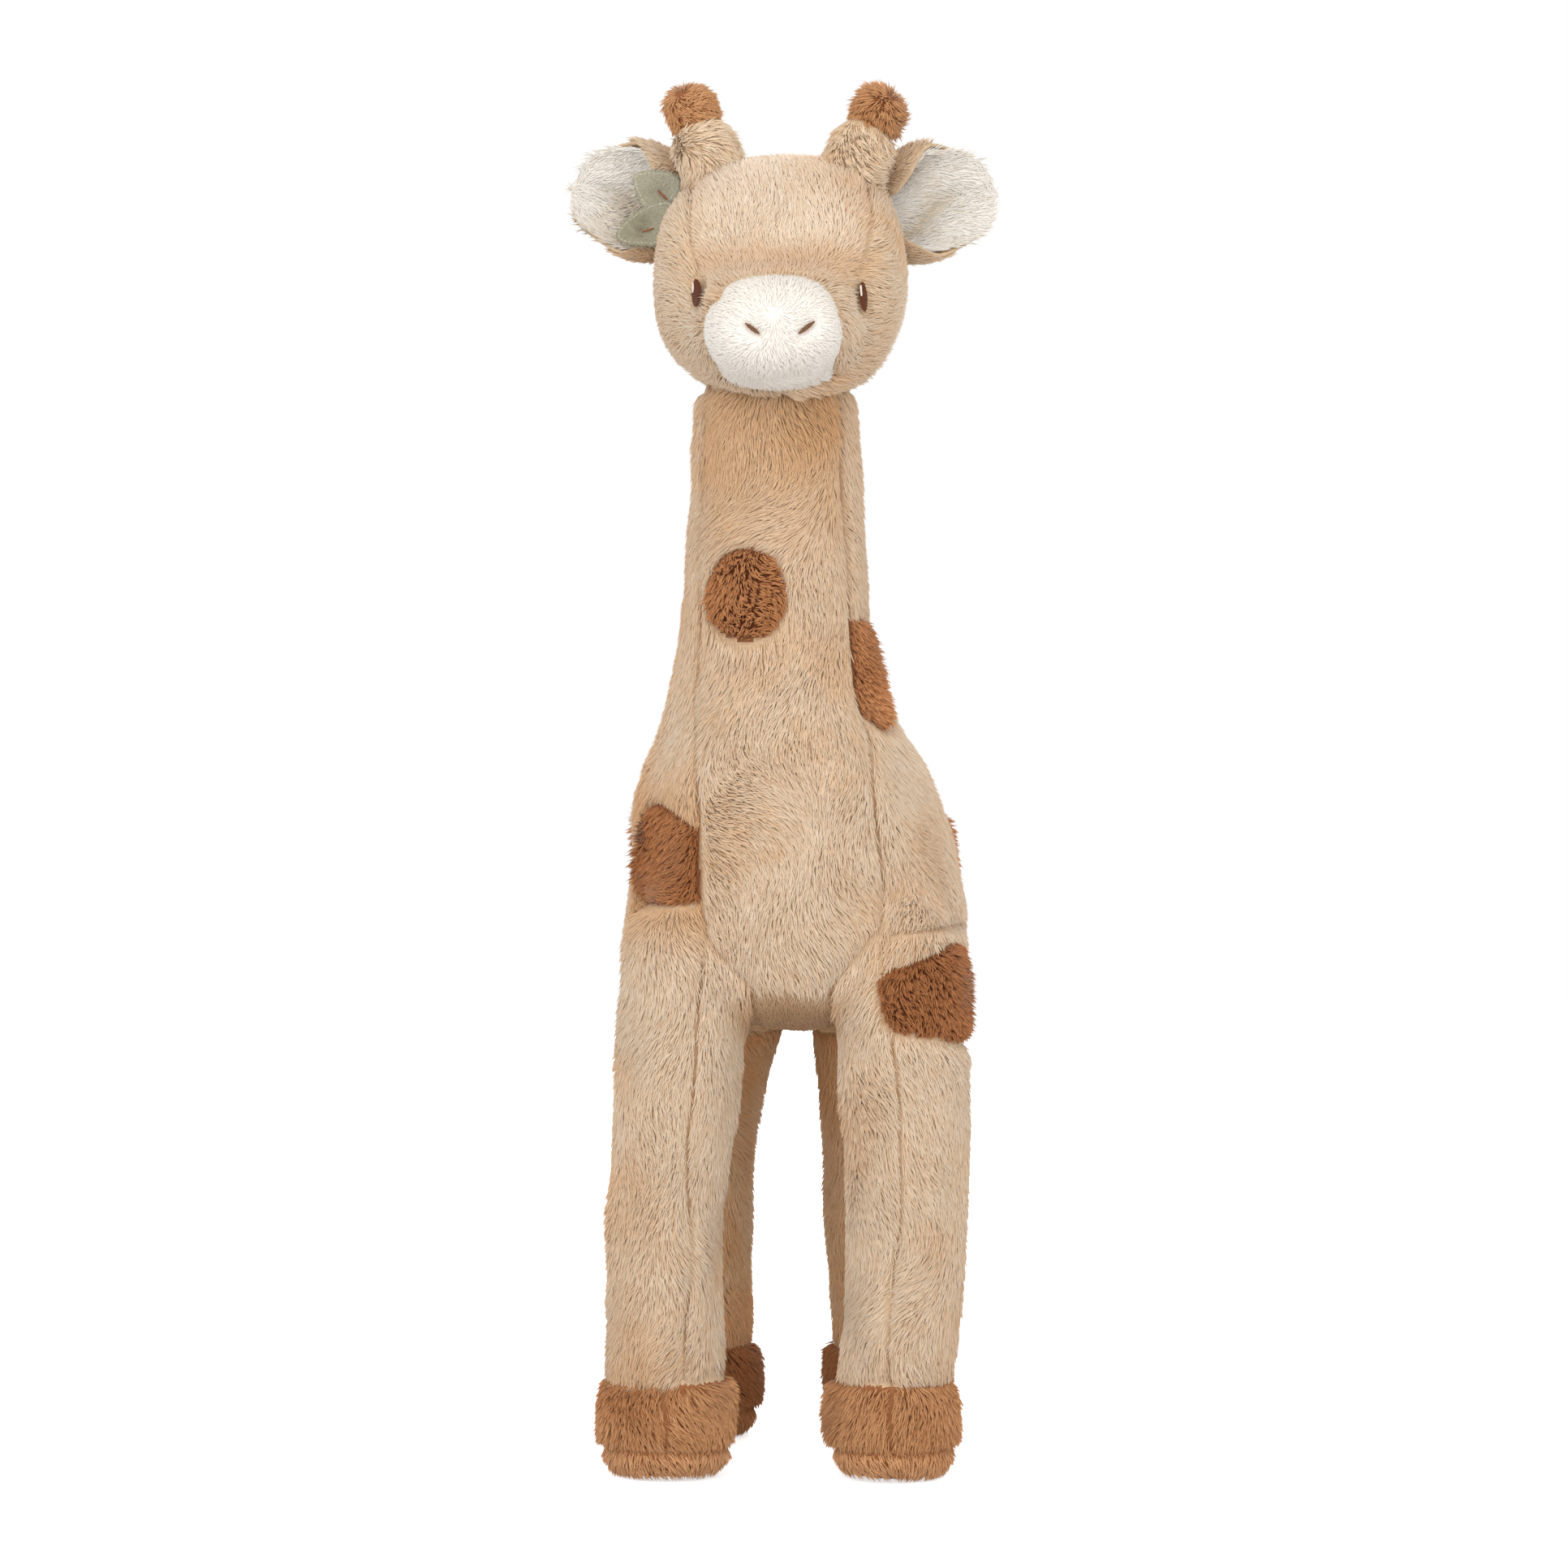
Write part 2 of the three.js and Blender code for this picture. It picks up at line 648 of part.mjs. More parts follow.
function addLimb(parent, leg) {
  const body = bodyAt(parent, leg.hip);
  const shell = leg.solidAt(0).subtract(leg.solidAt(-clothThickness));
  const cloth = shell.intersect(above(hoofHeight + seamGap / 2));
  const top = new THREE.CylinderGeometry(fillingOpening, fillingOpening, hipRadius, legAround)
    .rotateX(Math.PI / 2).translate(leg.hip.x, leg.hip.y, leg.hip.z + hipRadius);
  let cover = cloth.subtract(solidOf(top));
  for (const spot of legSpots.filter((entry) => entry.leg === leg.name)) {
    const place = new THREE.Vector3(leg.hip.x, leg.hip.y, leg.hip.z - spot.drop);
    const facing = facingTurned(sides[leg.side] * spot.turn);
    const toolAt = (extra) => plug(spotOutline(spot.corners, extra), place, facing, 0, farAway);
    addPiece(body, `${leg.name}_leg_spot`, cover.intersect(toolAt(0)), 'brown');
    cover = cover.subtract(toolAt(seamGap));
  }
  addPiece(body, `${leg.name}_leg_cover`, cover, 'tan');
  const hoof = shell.intersect(below(hoofHeight - seamGap / 2))
    .intersect(above(soleSeamHeight + seamGap / 2));
  addPiece(body, `${leg.name}_hoof`, hoof, 'hoof');
  addPiece(body, `${leg.name}_sole`, shell.intersect(below(soleSeamHeight - seamGap / 2)), 'hoof');
  addPiece(body, `${leg.name}_leg_filling`, leg.solidAt(-clothThickness - seamGap), 'filling');
}

// Neck

const neckColumn = neckColumnSkin();
const neckSolidAt = (distance) => grown(neckColumn, distance)
  .add(ball(neckPivot, neckRootRadius + distance, neckBallAround));
const neckSweep = sweptSpace(grown(neckColumn, moveGap), neckPivot, axisX, -neckBendBack, neckBendForward)
  .intersect(above(neckPivotHeight));

// The chest gusset runs from under the chin, down the throat and between the forelegs
const gussetOutline = (extra) => [
  [-gussetTopHalf, neckTopHeight + neckDomeHeight],
  [-gussetTopHalf - gussetThroatSpread, neckPivotHeight + neckLength / 4],
  [-gussetFootHalf, gussetFootHeight + gussetFootHalf / 2],
  [-gussetFootHalf * gussetEndShare, gussetFootHeight],
  [gussetFootHalf * gussetEndShare, gussetFootHeight],
  [gussetFootHalf, gussetFootHeight + gussetFootHalf / 2],
  [gussetTopHalf + gussetThroatSpread, neckPivotHeight + neckLength / 4],
  [gussetTopHalf, neckTopHeight + neckDomeHeight],
].map(([x, z]) => new THREE.Vector2(x + Math.sign(x) * extra, z < neckPivotHeight ? z - extra : z));
const gussetTool = (extra, back) => plug(
  gussetOutline(extra), new THREE.Vector3(0, -back, 0), new THREE.Vector3(0, -1, 0), 0, farAway,
);

// Splits a cover down the middle of its back
function halves(cover) {
  return Object.entries(sides).map(([side, out]) => [side, cover.intersect(beside(out, seamGap / 2))]);
}

// Sews spots into a cover and returns what is left of it; placeOf gives a spot's middle
function addSpots(body, cover, prefix, spots, placeOf) {
  let rest = cover;
  for (const spot of spots) {
    const facing = facingTurned(spot.turn);
    const toolAt = (extra) => plug(spotOutline(spot.corners, extra), placeOf(spot), facing, 0, farAway);
    addPiece(body, `${prefix}_${spot.name}_spot`, rest.intersect(toolAt(0)), 'brown');
    rest = rest.subtract(toolAt(seamGap));
  }
  return rest;
}

const onNeck = (spot) => new THREE.Vector3(spot.across ?? 0, -neckPivotForward, neckPivotHeight)
  .add(new THREE.Vector3(0, neckPivotForward - neckTopForward, neckLength).multiplyScalar(spot.rise));
const onTorso = (spot) => new THREE.Vector3(
  0, torsoLength * spot.back - torsoForward, bellyHeight + torsoHeight * spot.rise,
);

function addNeck(parent) {
  const body = bodyAt(parent, neckPivot);
  const shell = neckSolidAt(0).subtract(neckSolidAt(-clothThickness));
  const foot = new THREE.CylinderGeometry(fillingOpening * 2, fillingOpening * 2, neckRootRadius, bodyAround)
    .rotateX(Math.PI / 2).translate(neckPivot.x, neckPivot.y, neckPivot.z - neckRootRadius);
  const cloth = shell.subtract(solidOf(foot));
  const back = neckPivotForward;
  const spotsOf = (panel) => neckSpots.filter((spot) => spot.panel === panel);
  const throat = cloth.intersect(gussetTool(0, back));
  addPiece(body, 'neck_throat_panel', addSpots(body, throat, 'neck', spotsOf('throat'), onNeck), 'tan');
  for (const [side, half] of halves(cloth.subtract(gussetTool(seamGap, back)))) {
    addPiece(body, `neck_${side}_panel`, addSpots(body, half, 'neck', spotsOf(side), onNeck), 'tan');
  }
  addPiece(body, 'neck_filling', neckSolidAt(-clothThickness - seamGap), 'filling');
  return body;
}

// Tail

const tailForm = tailSkin(tailPivot);
const tailSpace = sweptSpace(grown(tailForm, moveGap), tailPivot, axisY, -tailSwing, tailSwing)
  .add(socket(tailPivot, tailBallRadius, smallAround, axisY));

function addTail(parent) {
  const body = bodyAt(parent, tailPivot);
  const whole = solidOf(tailForm).add(ball(tailPivot, tailBallRadius, smallAround, axisY));
  const joint = tailPivot.z - tailLength + tuftLength;
  addPiece(body, 'tail', whole.intersect(above(joint + seamGap / 2)), 'tan');
  addPiece(body, 'tail_tuft', whole.intersect(below(joint - seamGap / 2)), 'brown');
}

// Torso

function addTorso() {
  const body = bodyAt(toy, new THREE.Vector3(0, bodyMiddleY, hipHeight));
  const form = torsoSkin();
  const tools = [
    socket(neckPivot, neckRootRadius, neckBallAround),
    neckSweep,
    tailSpace,
    ...limbs.map((leg) => leg.space),
  ];
  const cloth = cutBy(solidOf(form).subtract(grown(form, -clothThickness)), tools);
  const bellyTool = (extra) => box(
    new THREE.Vector3(-bellyPanelHalf - extra, -farAway, -farAway),
    new THREE.Vector3(bellyPanelHalf + extra, farAway, bellyHeight + bellyPanelRise),
  );
  const back = neckPivotForward;
  addPiece(body, 'chest_panel', cloth.intersect(gussetTool(0, back)), 'tan');
  const behindChest = cloth.subtract(gussetTool(seamGap, back));
  addPiece(body, 'belly_panel', behindChest.intersect(bellyTool(0)), 'tan');
  for (const [side, half] of halves(behindChest.subtract(bellyTool(seamGap)))) {
    const spots = bodySpots.filter((spot) => spot.panel === side);
    addPiece(body, `body_${side}_panel`, addSpots(body, half, 'body', spots, onTorso), 'tan');
  }
  addPiece(body, 'body_filling', cutBy(grown(form, -clothThickness - seamGap), tools), 'filling');
  return body;
}

// Ossicones, ears and the spaces that they move through

function ossiconeFrame(side) {
  const pivot = new THREE.Vector3(
    (sides[side] * ossiconeSpacing) / 2, -ossiconePivotForward, ossiconePivotHeight,
  );
  return new THREE.Matrix4().makeRotationY(sides[side] * radians(ossiconeLean)).setPosition(pivot);
}

const ossiconeForm = ossiconeSkin();

function placed(solid, frame) {
  const geometry = geometryOf(solid).applyMatrix4(frame);
  if (frame.determinant() < 0) geometry.setIndex(Array.from(geometry.index.array).reverse());
  return solidOf(geometry);
}

const centreOf = (frame) => new THREE.Vector3().setFromMatrixPosition(frame);
const origin = new THREE.Vector3();

function ossiconeSpace(side) {
  const sweep = sweptSpace(grown(ossiconeForm, moveGap), origin, axisX, -ossiconeFlex, ossiconeFlex);
  return placed(sweep.add(socket(origin, ossiconeBallRadius, smallBallAround)), ossiconeFrame(side));
}

function addOssicone(parent, side) {
  const frame = ossiconeFrame(side);
  const body = bodyAt(parent, centreOf(frame));
  const solidAt = (distance) => grown(ossiconeForm, distance)
    .add(ball(origin, ossiconeBallRadius + distance, smallBallAround));
  const shell = solidAt(0).subtract(solidAt(-ossiconeCloth));
  const openingRadius = fillingOpening / 2;
  const seam = ossiconeLength - ossiconeTipLength;
  const foot = new THREE.CylinderGeometry(openingRadius, openingRadius, ossiconeBallRadius, smallAround)
    .rotateX(Math.PI / 2).translate(0, 0, -ossiconeBallRadius);
  const sleeve = shell.intersect(below(seam - seamGap / 2)).subtract(solidOf(foot));
  addPiece(body, `ossicone_${side}_sleeve`, placed(sleeve, frame), 'tan');
  addPiece(body, `ossicone_${side}_tip`, placed(shell.intersect(above(seam + seamGap / 2)), frame), 'brown');
  addPiece(body, `ossicone_${side}_filling`, placed(solidAt(-ossiconeCloth - seamGap), frame), 'filling');
}

// The skull's half width at a height and depth, from the same rules as its skin
function skullHalfWidth(height, forward) {
  const along = (headForward - forward) / headLength;
  const fullness = (1 - Math.abs(2 * along - 1) ** headBluntness) ** (1 / headBluntness);
  const high = (height - headBaseHeight - headHeight / 2) / ((headHeight / 2) * fullness);
  return (headWidth / 2) * fullness * (1 - Math.abs(high) ** headSquareness) ** (1 / headSquareness);
}

function earFrame(side) {
  const out = skullHalfWidth(earRootHeight, earRootForward);
  const pivot = new THREE.Vector3(sides[side] * out, -earRootForward, earRootHeight);
  const away = sides[side] > 0 ? 0 : Math.PI;
  const frame = new THREE.Matrix4().makeRotationZ(away + sides[side] * radians(earSweep));
  if (sides[side] < 0) frame.multiply(new THREE.Matrix4().makeScale(1, -1, 1));
  return frame.multiply(new THREE.Matrix4().makeRotationY(-radians(earLift))).setPosition(pivot);
}

// The lining's edge falls on a ring of the back, so the two faces lie parallel
const earMiddleLevel = 0.5;
const liningLevel = 1 - (2 * earRim) / earLength;
const earBackAt = (extra) => solidOf(cuppedPanel(
  [earMiddleLevel, liningLevel, 1 + (2 * extra) / earLength], -extra, earBackThickness + extra,
));
const earLiningAt = (extra) => solidOf(cuppedPanel(
  [earMiddleLevel, liningLevel + (2 * extra) / earLength],
  -earLiningThickness - seamGap - extra,
  extra - seamGap,
));

// A leaf lying along +X from its stitched end, grown all round by an extra margin
function leafSolid(extra) {
  const edge = [];
  for (let i = 0; i <= leafPoints; i++) {
    const along = i / leafPoints;
    const halfWide = (leafWide / 2 + extra) * Math.sin(Math.PI * along ** leafFullness);
    edge.push([along * (leafLength + 2 * extra) - extra, halfWide]);
  }
  const outline = [...edge, ...edge.slice(1, -1).reverse().map(([x, y]) => [x, -y])]
    .map(([x, y]) => new THREE.Vector2(x, y));
  const shape = new THREE.Shape(outline);
  const depth = feltThickness + 2 * extra;
  const plate = new THREE.ExtrudeGeometry(shape, { depth, bevelEnabled: false }).translate(0, 0, -extra);
  return solidOf(plate.rotateX(Math.PI / 2));
}

// A leaf lies on the right ear's lining, stitched down at its inner end, where it lifts
function leafAt(degrees, lift) {
  const level = 1 - (2 * (earSink + leafStitchOut)) / earLength;
  const place = new THREE.Vector3(
    leafStitchOut,
    cupRise(level) - earLiningThickness - seamGap * 2 - leafLift,
    Math.sign(degrees) * leafStitchApart,
  );
  return new THREE.Matrix4().makeRotationY(-radians(degrees))
    .multiply(new THREE.Matrix4().makeRotationZ(-radians(leafTilt + lift))).setPosition(place);
}

const leafOnEar = (degrees) => placed(leafSolid(0), leafAt(degrees, 0))
  .subtract(earLiningAt(seamGap)).subtract(earBackAt(seamGap));
const leafSpace = (degrees) => joined(
  [0, leafOpen / 2, leafOpen].map((lift) => placed(leafSolid(moveGap), leafAt(degrees, lift))),
);

// What an ear and its leaves fill while the ear folds at its root, forwards and back
function earSpace(side) {
  const leaves = side === 'right' ? Object.values(leafAngles).map(leafSpace) : [];
  const whole = joined([earBackAt(moveGap), earLiningAt(moveGap), ...leaves]);
  return placed(sweptSpace(whole, origin, axisZ, -earFoldForward, earFoldBack), earFrame(side));
}

// The hollow that an ear's root leaves in the filling behind the seam
const earRecess = (side) => placed(box(
  new THREE.Vector3(-earSink - moveGap * 3, -earSink - earBackThickness, -earHeight / 2),
  new THREE.Vector3(earSink, earSink + earBackThickness, earHeight / 2),
), earFrame(side));

function addEar(parent, side) {
  const frame = earFrame(side);
  const body = bodyAt(parent, centreOf(frame));
  addPiece(body, `ear_${side}_back`, placed(earBackAt(0), frame), 'tan');
  addPiece(body, `ear_${side}_lining`, placed(earLiningAt(0), frame), 'white');
  return { body, frame };
}

function addLeaf(ear, name, degrees) {
  const body = bodyAt(ear.body, centreOf(ear.frame.clone().multiply(leafAt(degrees, 0))));
  addPiece(body, `leaf_${name}`, placed(leafOnEar(degrees), ear.frame), 'felt');
}

// Head

function addHead(parent) {
  const body = bodyAt(parent, headPivot);
  const form = headSkin();
  const turnRadius = (neckTopRadius + moveGap) / Math.cos(Math.PI / bodyAround) ** 2;
  const turnHeight = neckDomeHeight + moveGap;
  const collar = [new THREE.Vector2(0, -headHeight / 2), new THREE.Vector2(turnRadius, -headHeight / 2)];
  for (const angle of [0, 15, 30, 45, 60, 75].map(radians)) {
    collar.push(new THREE.Vector2(turnRadius * Math.cos(angle), turnHeight * Math.sin(angle)));
  }
  collar.push(new THREE.Vector2(0, turnHeight));
  const neckSpace = solidOf(new THREE.LatheGeometry(collar, bodyAround).rotateX(Math.PI / 2)
    .translate(headPivot.x, headPivot.y, headPivot.z));
  const deepSpaces = [neckSpace, ...Object.keys(sides).map(ossiconeSpace)];
  const shell = solidOf(form).subtract(grown(form, -clothThickness));
  const cloth = cutBy(shell, [...deepSpaces, ...Object.keys(sides).map(earSpace)]);

  // The nose piece ends at a plane that leans, so it reaches further back along the top
  const lean = Math.atan2(muzzleTopOverhang, muzzleHeight);
  const noseBox = (extra) => {
    const block = new THREE.BoxGeometry(farAway, farAway, farAway).translate(0, -farAway / 2 + extra, 0);
    const middleHeight = muzzleBase + muzzleHeight / 2;
    return solidOf(block.rotateX(-lean).translate(0, muzzleDepth - headForward, middleHeight));
  };
  addPiece(body, 'muzzle', cloth.intersect(noseBox(0)), 'white');
  const behindNose = cloth.subtract(noseBox(seamGap));

  // The forehead gusset runs from the muzzle between the eyes and over the crown
  const browOutline = (extra) => [
    [-browFootHalf, muzzleBase + muzzleHeight * browFootShare],
    [-eyeSpacing / 2, eyeHeight],
    [-browTopHalf, ossiconePivotHeight],
    [-browTopHalf, crownHeight + clothThickness],
    [browTopHalf, crownHeight + clothThickness],
    [browTopHalf, ossiconePivotHeight],
    [eyeSpacing / 2, eyeHeight],
    [browFootHalf, muzzleBase + muzzleHeight * browFootShare],
  ].map(([x, z]) => new THREE.Vector2(x + Math.sign(x) * extra, z));
  const browBack = new THREE.Vector3(0, -ossiconePivotForward, 0);
  const browTool = (extra) => plug(browOutline(extra), browBack, new THREE.Vector3(0, -1, 0), 0, farAway);
  addPiece(body, 'forehead_gusset', behindNose.intersect(browTool(0)), 'paleTan');
  for (const [side, half] of halves(behindNose.subtract(browTool(seamGap)))) {
    addPiece(body, `head_${side}_panel`, half, 'tan');
  }
  const hollows = [...deepSpaces, ...Object.keys(sides).map(earRecess)];
  addPiece(body, 'head_filling', cutBy(grown(form, -clothThickness - seamGap), hollows), 'filling');

  const front = new THREE.Vector3(0, -1, 0);
  for (const [side, out] of Object.entries(sides)) {
    const eyeMiddle = new THREE.Vector3((out * eyeSpacing) / 2, -ossiconePivotForward, eyeHeight);
    const eyeTool = plug(ovalOutline(eyeWide, eyeTall, eyePoints), eyeMiddle, front, 0, farAway);
    addPiece(body, `eye_${side}`, stitchedOn(form, eyeTool, seamGap), 'darkThread');
    const glint = eyeMiddle.clone().add(new THREE.Vector3(-highlightShift, 0, highlightRise));
    const glintTool = plug(ovalOutline(highlightWide, highlightTall, glintPoints), glint, front, 0, farAway);
    const glintLift = seamGap * 2 + threadThickness;
    addPiece(body, `eye_${side}_highlight`, stitchedOn(form, glintTool, glintLift), 'whiteThread');

    const nostrilMiddle = new THREE.Vector3((out * nostrilSpacing) / 2, -headForward, nostrilHeight);
    const line = ovalOutline(nostrilLength, nostrilWide, nostrilPoints)
      .map((point) => point.rotateAround(new THREE.Vector2(), out * radians(nostrilTilt)));
    const nostrilTool = plug(line, nostrilMiddle, front, muzzleDepth, farAway);
    addPiece(body, `nostril_${side}`, stitchedOn(form, nostrilTool, seamGap), 'darkThread');
  }

  for (const side of Object.keys(sides)) addOssicone(body, side);
  const ears = Object.fromEntries(Object.keys(sides).map((side) => [side, addEar(body, side)]));
  for (const [name, degrees] of Object.entries(leafAngles)) addLeaf(ears.right, name, degrees);
}

// Assembly

const torsoBody = addTorso();
for (const leg of limbs) addLimb(torsoBody, leg);
addTail(torsoBody);
addHead(addNeck(torsoBody));

// The frame's origin is on the floor, under the middle of the whole toy
toy.updateMatrixWorld(true);
const middle = new THREE.Box3().setFromObject(toy, true).getCenter(new THREE.Vector3());
toy.position.set(-middle.x, -middle.y, 0);

export default toy;
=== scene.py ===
# A standing plush giraffe: stuffed covers with a real pile, stitched eyes and felt leaves
import json
import math

import bmesh
import bpy
import numpy as np
from mathutils import Matrix, Vector
from mathutils.bvhtree import BVHTree


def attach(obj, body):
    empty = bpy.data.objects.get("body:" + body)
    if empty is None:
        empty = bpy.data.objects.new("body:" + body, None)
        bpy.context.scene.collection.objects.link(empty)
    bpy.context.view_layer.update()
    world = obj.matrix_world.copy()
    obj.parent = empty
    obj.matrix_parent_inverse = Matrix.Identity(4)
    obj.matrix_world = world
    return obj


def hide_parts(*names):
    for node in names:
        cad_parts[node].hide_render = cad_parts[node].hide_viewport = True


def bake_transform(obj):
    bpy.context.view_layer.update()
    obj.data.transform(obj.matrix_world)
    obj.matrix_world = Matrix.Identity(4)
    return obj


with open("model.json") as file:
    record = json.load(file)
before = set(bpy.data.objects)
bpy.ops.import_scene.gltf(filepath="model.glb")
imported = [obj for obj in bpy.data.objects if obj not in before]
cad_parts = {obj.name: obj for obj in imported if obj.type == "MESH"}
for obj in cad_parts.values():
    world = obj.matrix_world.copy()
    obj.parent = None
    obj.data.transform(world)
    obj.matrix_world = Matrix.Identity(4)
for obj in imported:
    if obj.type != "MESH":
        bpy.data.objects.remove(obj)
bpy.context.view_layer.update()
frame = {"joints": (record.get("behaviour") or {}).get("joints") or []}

mm = 0.001
far = 1.0  # from any seam
upward = np.array([0.0, 0.0, 1.0])
leftward = np.array([1.0, 0.0, 0.0])
pivots = {joint["name"]: np.array(joint["pos_m"]) for joint in frame["joints"]}
scene = bpy.context.scene
sideSigns = {"left": 1, "right": -1}  # the toy's own left is at +x


def made(operator, **settings):
    # What an add operator makes, with nothing else picked
    bpy.ops.object.select_all(action="DESELECT")
    operator(**settings)
    return bpy.context.object


def say(*words):
    print(*words, flush=True)


# Camera, floor and light

view = {"azimuth": 2.0, "distance": 1.70, "height": 0.25, "lens": 105.4, "sensor": 36}


def addCamera():
    turn = math.radians(view["azimuth"])
    place = (math.sin(turn) * view["distance"], -math.cos(turn) * view["distance"], view["height"])
    camera = made(bpy.ops.object.camera_add, location=place, rotation=(math.pi / 2, 0, turn))
    camera.data.lens = view["lens"]
    camera.data.sensor_width = view["sensor"]
    scene.camera = camera


# A node's output, for shader maths written as Python

class Wire:
    def __init__(self, shade, socket):
        self.shade, self.socket = shade, socket

    def maths(self, operation, *values):
        return self.shade.node("ShaderNodeMath", {"operation": operation}, dict(enumerate(values)))

    def __add__(self, other):
        return self.maths("ADD", self, other)

    def __mul__(self, other):
        return self.maths("MULTIPLY", self, other)

    def __pow__(self, other):
        return self.maths("POWER", self, other)

    __radd__ = __add__
    __rmul__ = __mul__


# The node tree of a material, or of the world

class Shade:
    def __init__(self, name, owners=bpy.data.materials):
        self.owner = owners.new(name)
        self.owner.use_nodes = True
        self.tree = self.owner.node_tree
        self.tree.nodes.clear()

    def node(self, kind, settings=None, sockets=None, output=0):
        added = self.tree.nodes.new(kind)
        for key, value in (settings or {}).items():
            setattr(added, key, value)
        for key, value in (sockets or {}).items():
            if isinstance(value, Wire):
                self.tree.links.new(value.socket, added.inputs[key])
            else:
                added.inputs[key].default_value = value
        return Wire(self, added.outputs[output]) if added.outputs else None

    def attribute(self, key):
        return self.node("ShaderNodeAttribute", {"attribute_name": key}, output=2)

    def mix(self, factor, first, second):
        return self.node("ShaderNodeMix", {"data_type": "RGBA"}, {0: factor, 6: first, 7: second}, output=2)

    def noise(self, scale, detail):
        place = self.node("ShaderNodeTexCoord", output=3)
        return self.node("ShaderNodeTexNoise", {}, {"Vector": place, "Scale": scale, "Detail": detail})

    def seen(self):
        # 1 where the camera sees it, also by reflection
        camera = self.node("ShaderNodeLightPath")
        glossy = Wire(self, camera.socket.node.outputs["Is Glossy Ray"])
        return camera.maths("MAXIMUM", camera, glossy)

    def surface(self, settings):
        return self.finish(self.node("ShaderNodeBsdfPrincipled", {}, settings))

    def finish(self, shader, output="ShaderNodeOutputMaterial"):
        self.node(output, {}, {"Surface": shader})
        return self.owner


def linear(red, green, blue):
    # A screen colour from 0 to 255 as the shader's own values
    parts = [value / 255 for value in (red, green, blue)]
    return (*[p / 12.92 if p <= 0.04045 else ((p + 0.055) / 1.055) ** 2.4 for p in parts], 1.0)


def dimmed(colour, share):
    return (*(min(1, part * share) for part in colour[:3]), 1)


studio = {
    "floorSize": 6.0,
    "aimHeight": 0.25,
    "seenWhite": 0.68,  # added where the camera sees the floor, so that it meets the white behind it
    "skyStrength": 0.92,
    "key": {"place": (-0.5, -2.25, 0.85), "size": 2.0, "power": 36},
    "fill": {"place": (1.2, -2.0, 0.15), "size": 1.8, "power": 25},
    "back": {"place": (0.3, 1.6, 1.5), "size": 1.4, "power": 30},
}


def addStudio():
    floor = made(bpy.ops.mesh.primitive_plane_add, size=studio["floorSize"])
    floor.name = "studio_floor"
    shade = Shade("studio_floor")
    white = (1, 1, 1, 1)
    lit = shade.node("ShaderNodeBsdfDiffuse", {}, {"Color": (0.7, 0.7, 0.7, 1)})
    glow = {"Color": white, "Strength": shade.seen() * studio["seenWhite"]}
    glow = shade.node("ShaderNodeEmission", {}, glow)
    floor.data.materials.append(shade.finish(shade.node("ShaderNodeAddShader", {}, {0: lit, 1: glow})))
    for name in ("key", "fill", "back"):
        lamp = studio[name]
        aim = Vector((0, 0, studio["aimHeight"])) - Vector(lamp["place"])
        turn = aim.to_track_quat("-Z", "Y").to_euler()
        light = made(bpy.ops.object.light_add, type="AREA", location=lamp["place"], rotation=turn)
        light.name = f"studio_{name}"
        light.data.size = lamp["size"]
        light.data.energy = lamp["power"]
    shade = Shade("studio", bpy.data.worlds)
    strength = {"Value": shade.seen(), "To Min": studio["skyStrength"], "To Max": 1.0}
    strength = shade.node("ShaderNodeMapRange", {}, strength)
    sky = shade.node("ShaderNodeBackground", {}, {"Color": white, "Strength": strength})
    scene.world = shade.finish(sky, "ShaderNodeOutputWorld")
    scene.view_settings.view_transform = "Standard"


# Modelling

def pickOnly(piece):
    bpy.ops.object.select_all(action="DESELECT")
    piece.select_set(True)
    bpy.context.view_layer.objects.active = piece


def inEditMode(piece):
    pickOnly(piece)
    bpy.ops.object.mode_set(mode="EDIT")
    bpy.ops.mesh.select_all(action="SELECT")


def readAll(items, key, kind=np.float32):
    values = np.empty(len(items) * 3, kind)
    items.foreach_get(key, values)
    return values.reshape(-1, 3)


def placesOf(piece):
    return readAll(piece.data.vertices, "co").astype(float)


def normalsOf(piece):
    return readAll(piece.data.vertices, "normal").astype(float)


def facePlaces(piece):
    return readAll(piece.data.polygons, "center").astype(float)


def marked(mesh, key, values):
    mesh.attributes.new(key, "FLOAT", "POINT").data.foreach_set("value", values.astype(np.float32))


def movePoints(piece, places):
    piece.data.vertices.foreach_set("co", np.asarray(places, np.float32).ravel())
    piece.data.update()


def raised(piece, height):
    # Moves each point out along its normal
    movePoints(piece, placesOf(piece) + normalsOf(piece) * height[:, None])


def outwards(piece):
    inEditMode(piece)
    bpy.ops.mesh.normals_make_consistent(inside=False)
    bpy.ops.object.mode_set(mode="OBJECT")


def lofted(name, rings, around=40, squareness=2.0):
    # A closed form up through rings of (height, centreX, centreY, halfX, halfY) in mm
    piece = made(bpy.ops.mesh.primitive_circle_add, vertices=around, radius=1.0, fill_type="NGON")
    piece.name = name
    height, x, y, halfX, halfY = rings[0]
    for vertex in piece.data.vertices:
        across, along = vertex.co.x, vertex.co.y
        across = math.copysign(abs(across) ** (2 / squareness), across)
        along = math.copysign(abs(along) ** (2 / squareness), along)
        vertex.co = Vector((x + across * halfX, y + along * halfY, height)) * mm
    inEditMode(piece)
    for before, after in zip(rings, rings[1:]):
        step = Vector(after[i] - before[i] for i in (1, 2, 0)) * mm
        bpy.ops.mesh.extrude_region_move(TRANSFORM_OT_translate={"value": step})
        grow = (after[3] / before[3], after[4] / before[4], 1)
        centre = Vector((after[1], after[2], after[0])) * mm
        bpy.ops.transform.resize(value=grow, center_override=centre)
    bpy.ops.object.mode_set(mode="OBJECT")
    outwards(piece)
    return piece


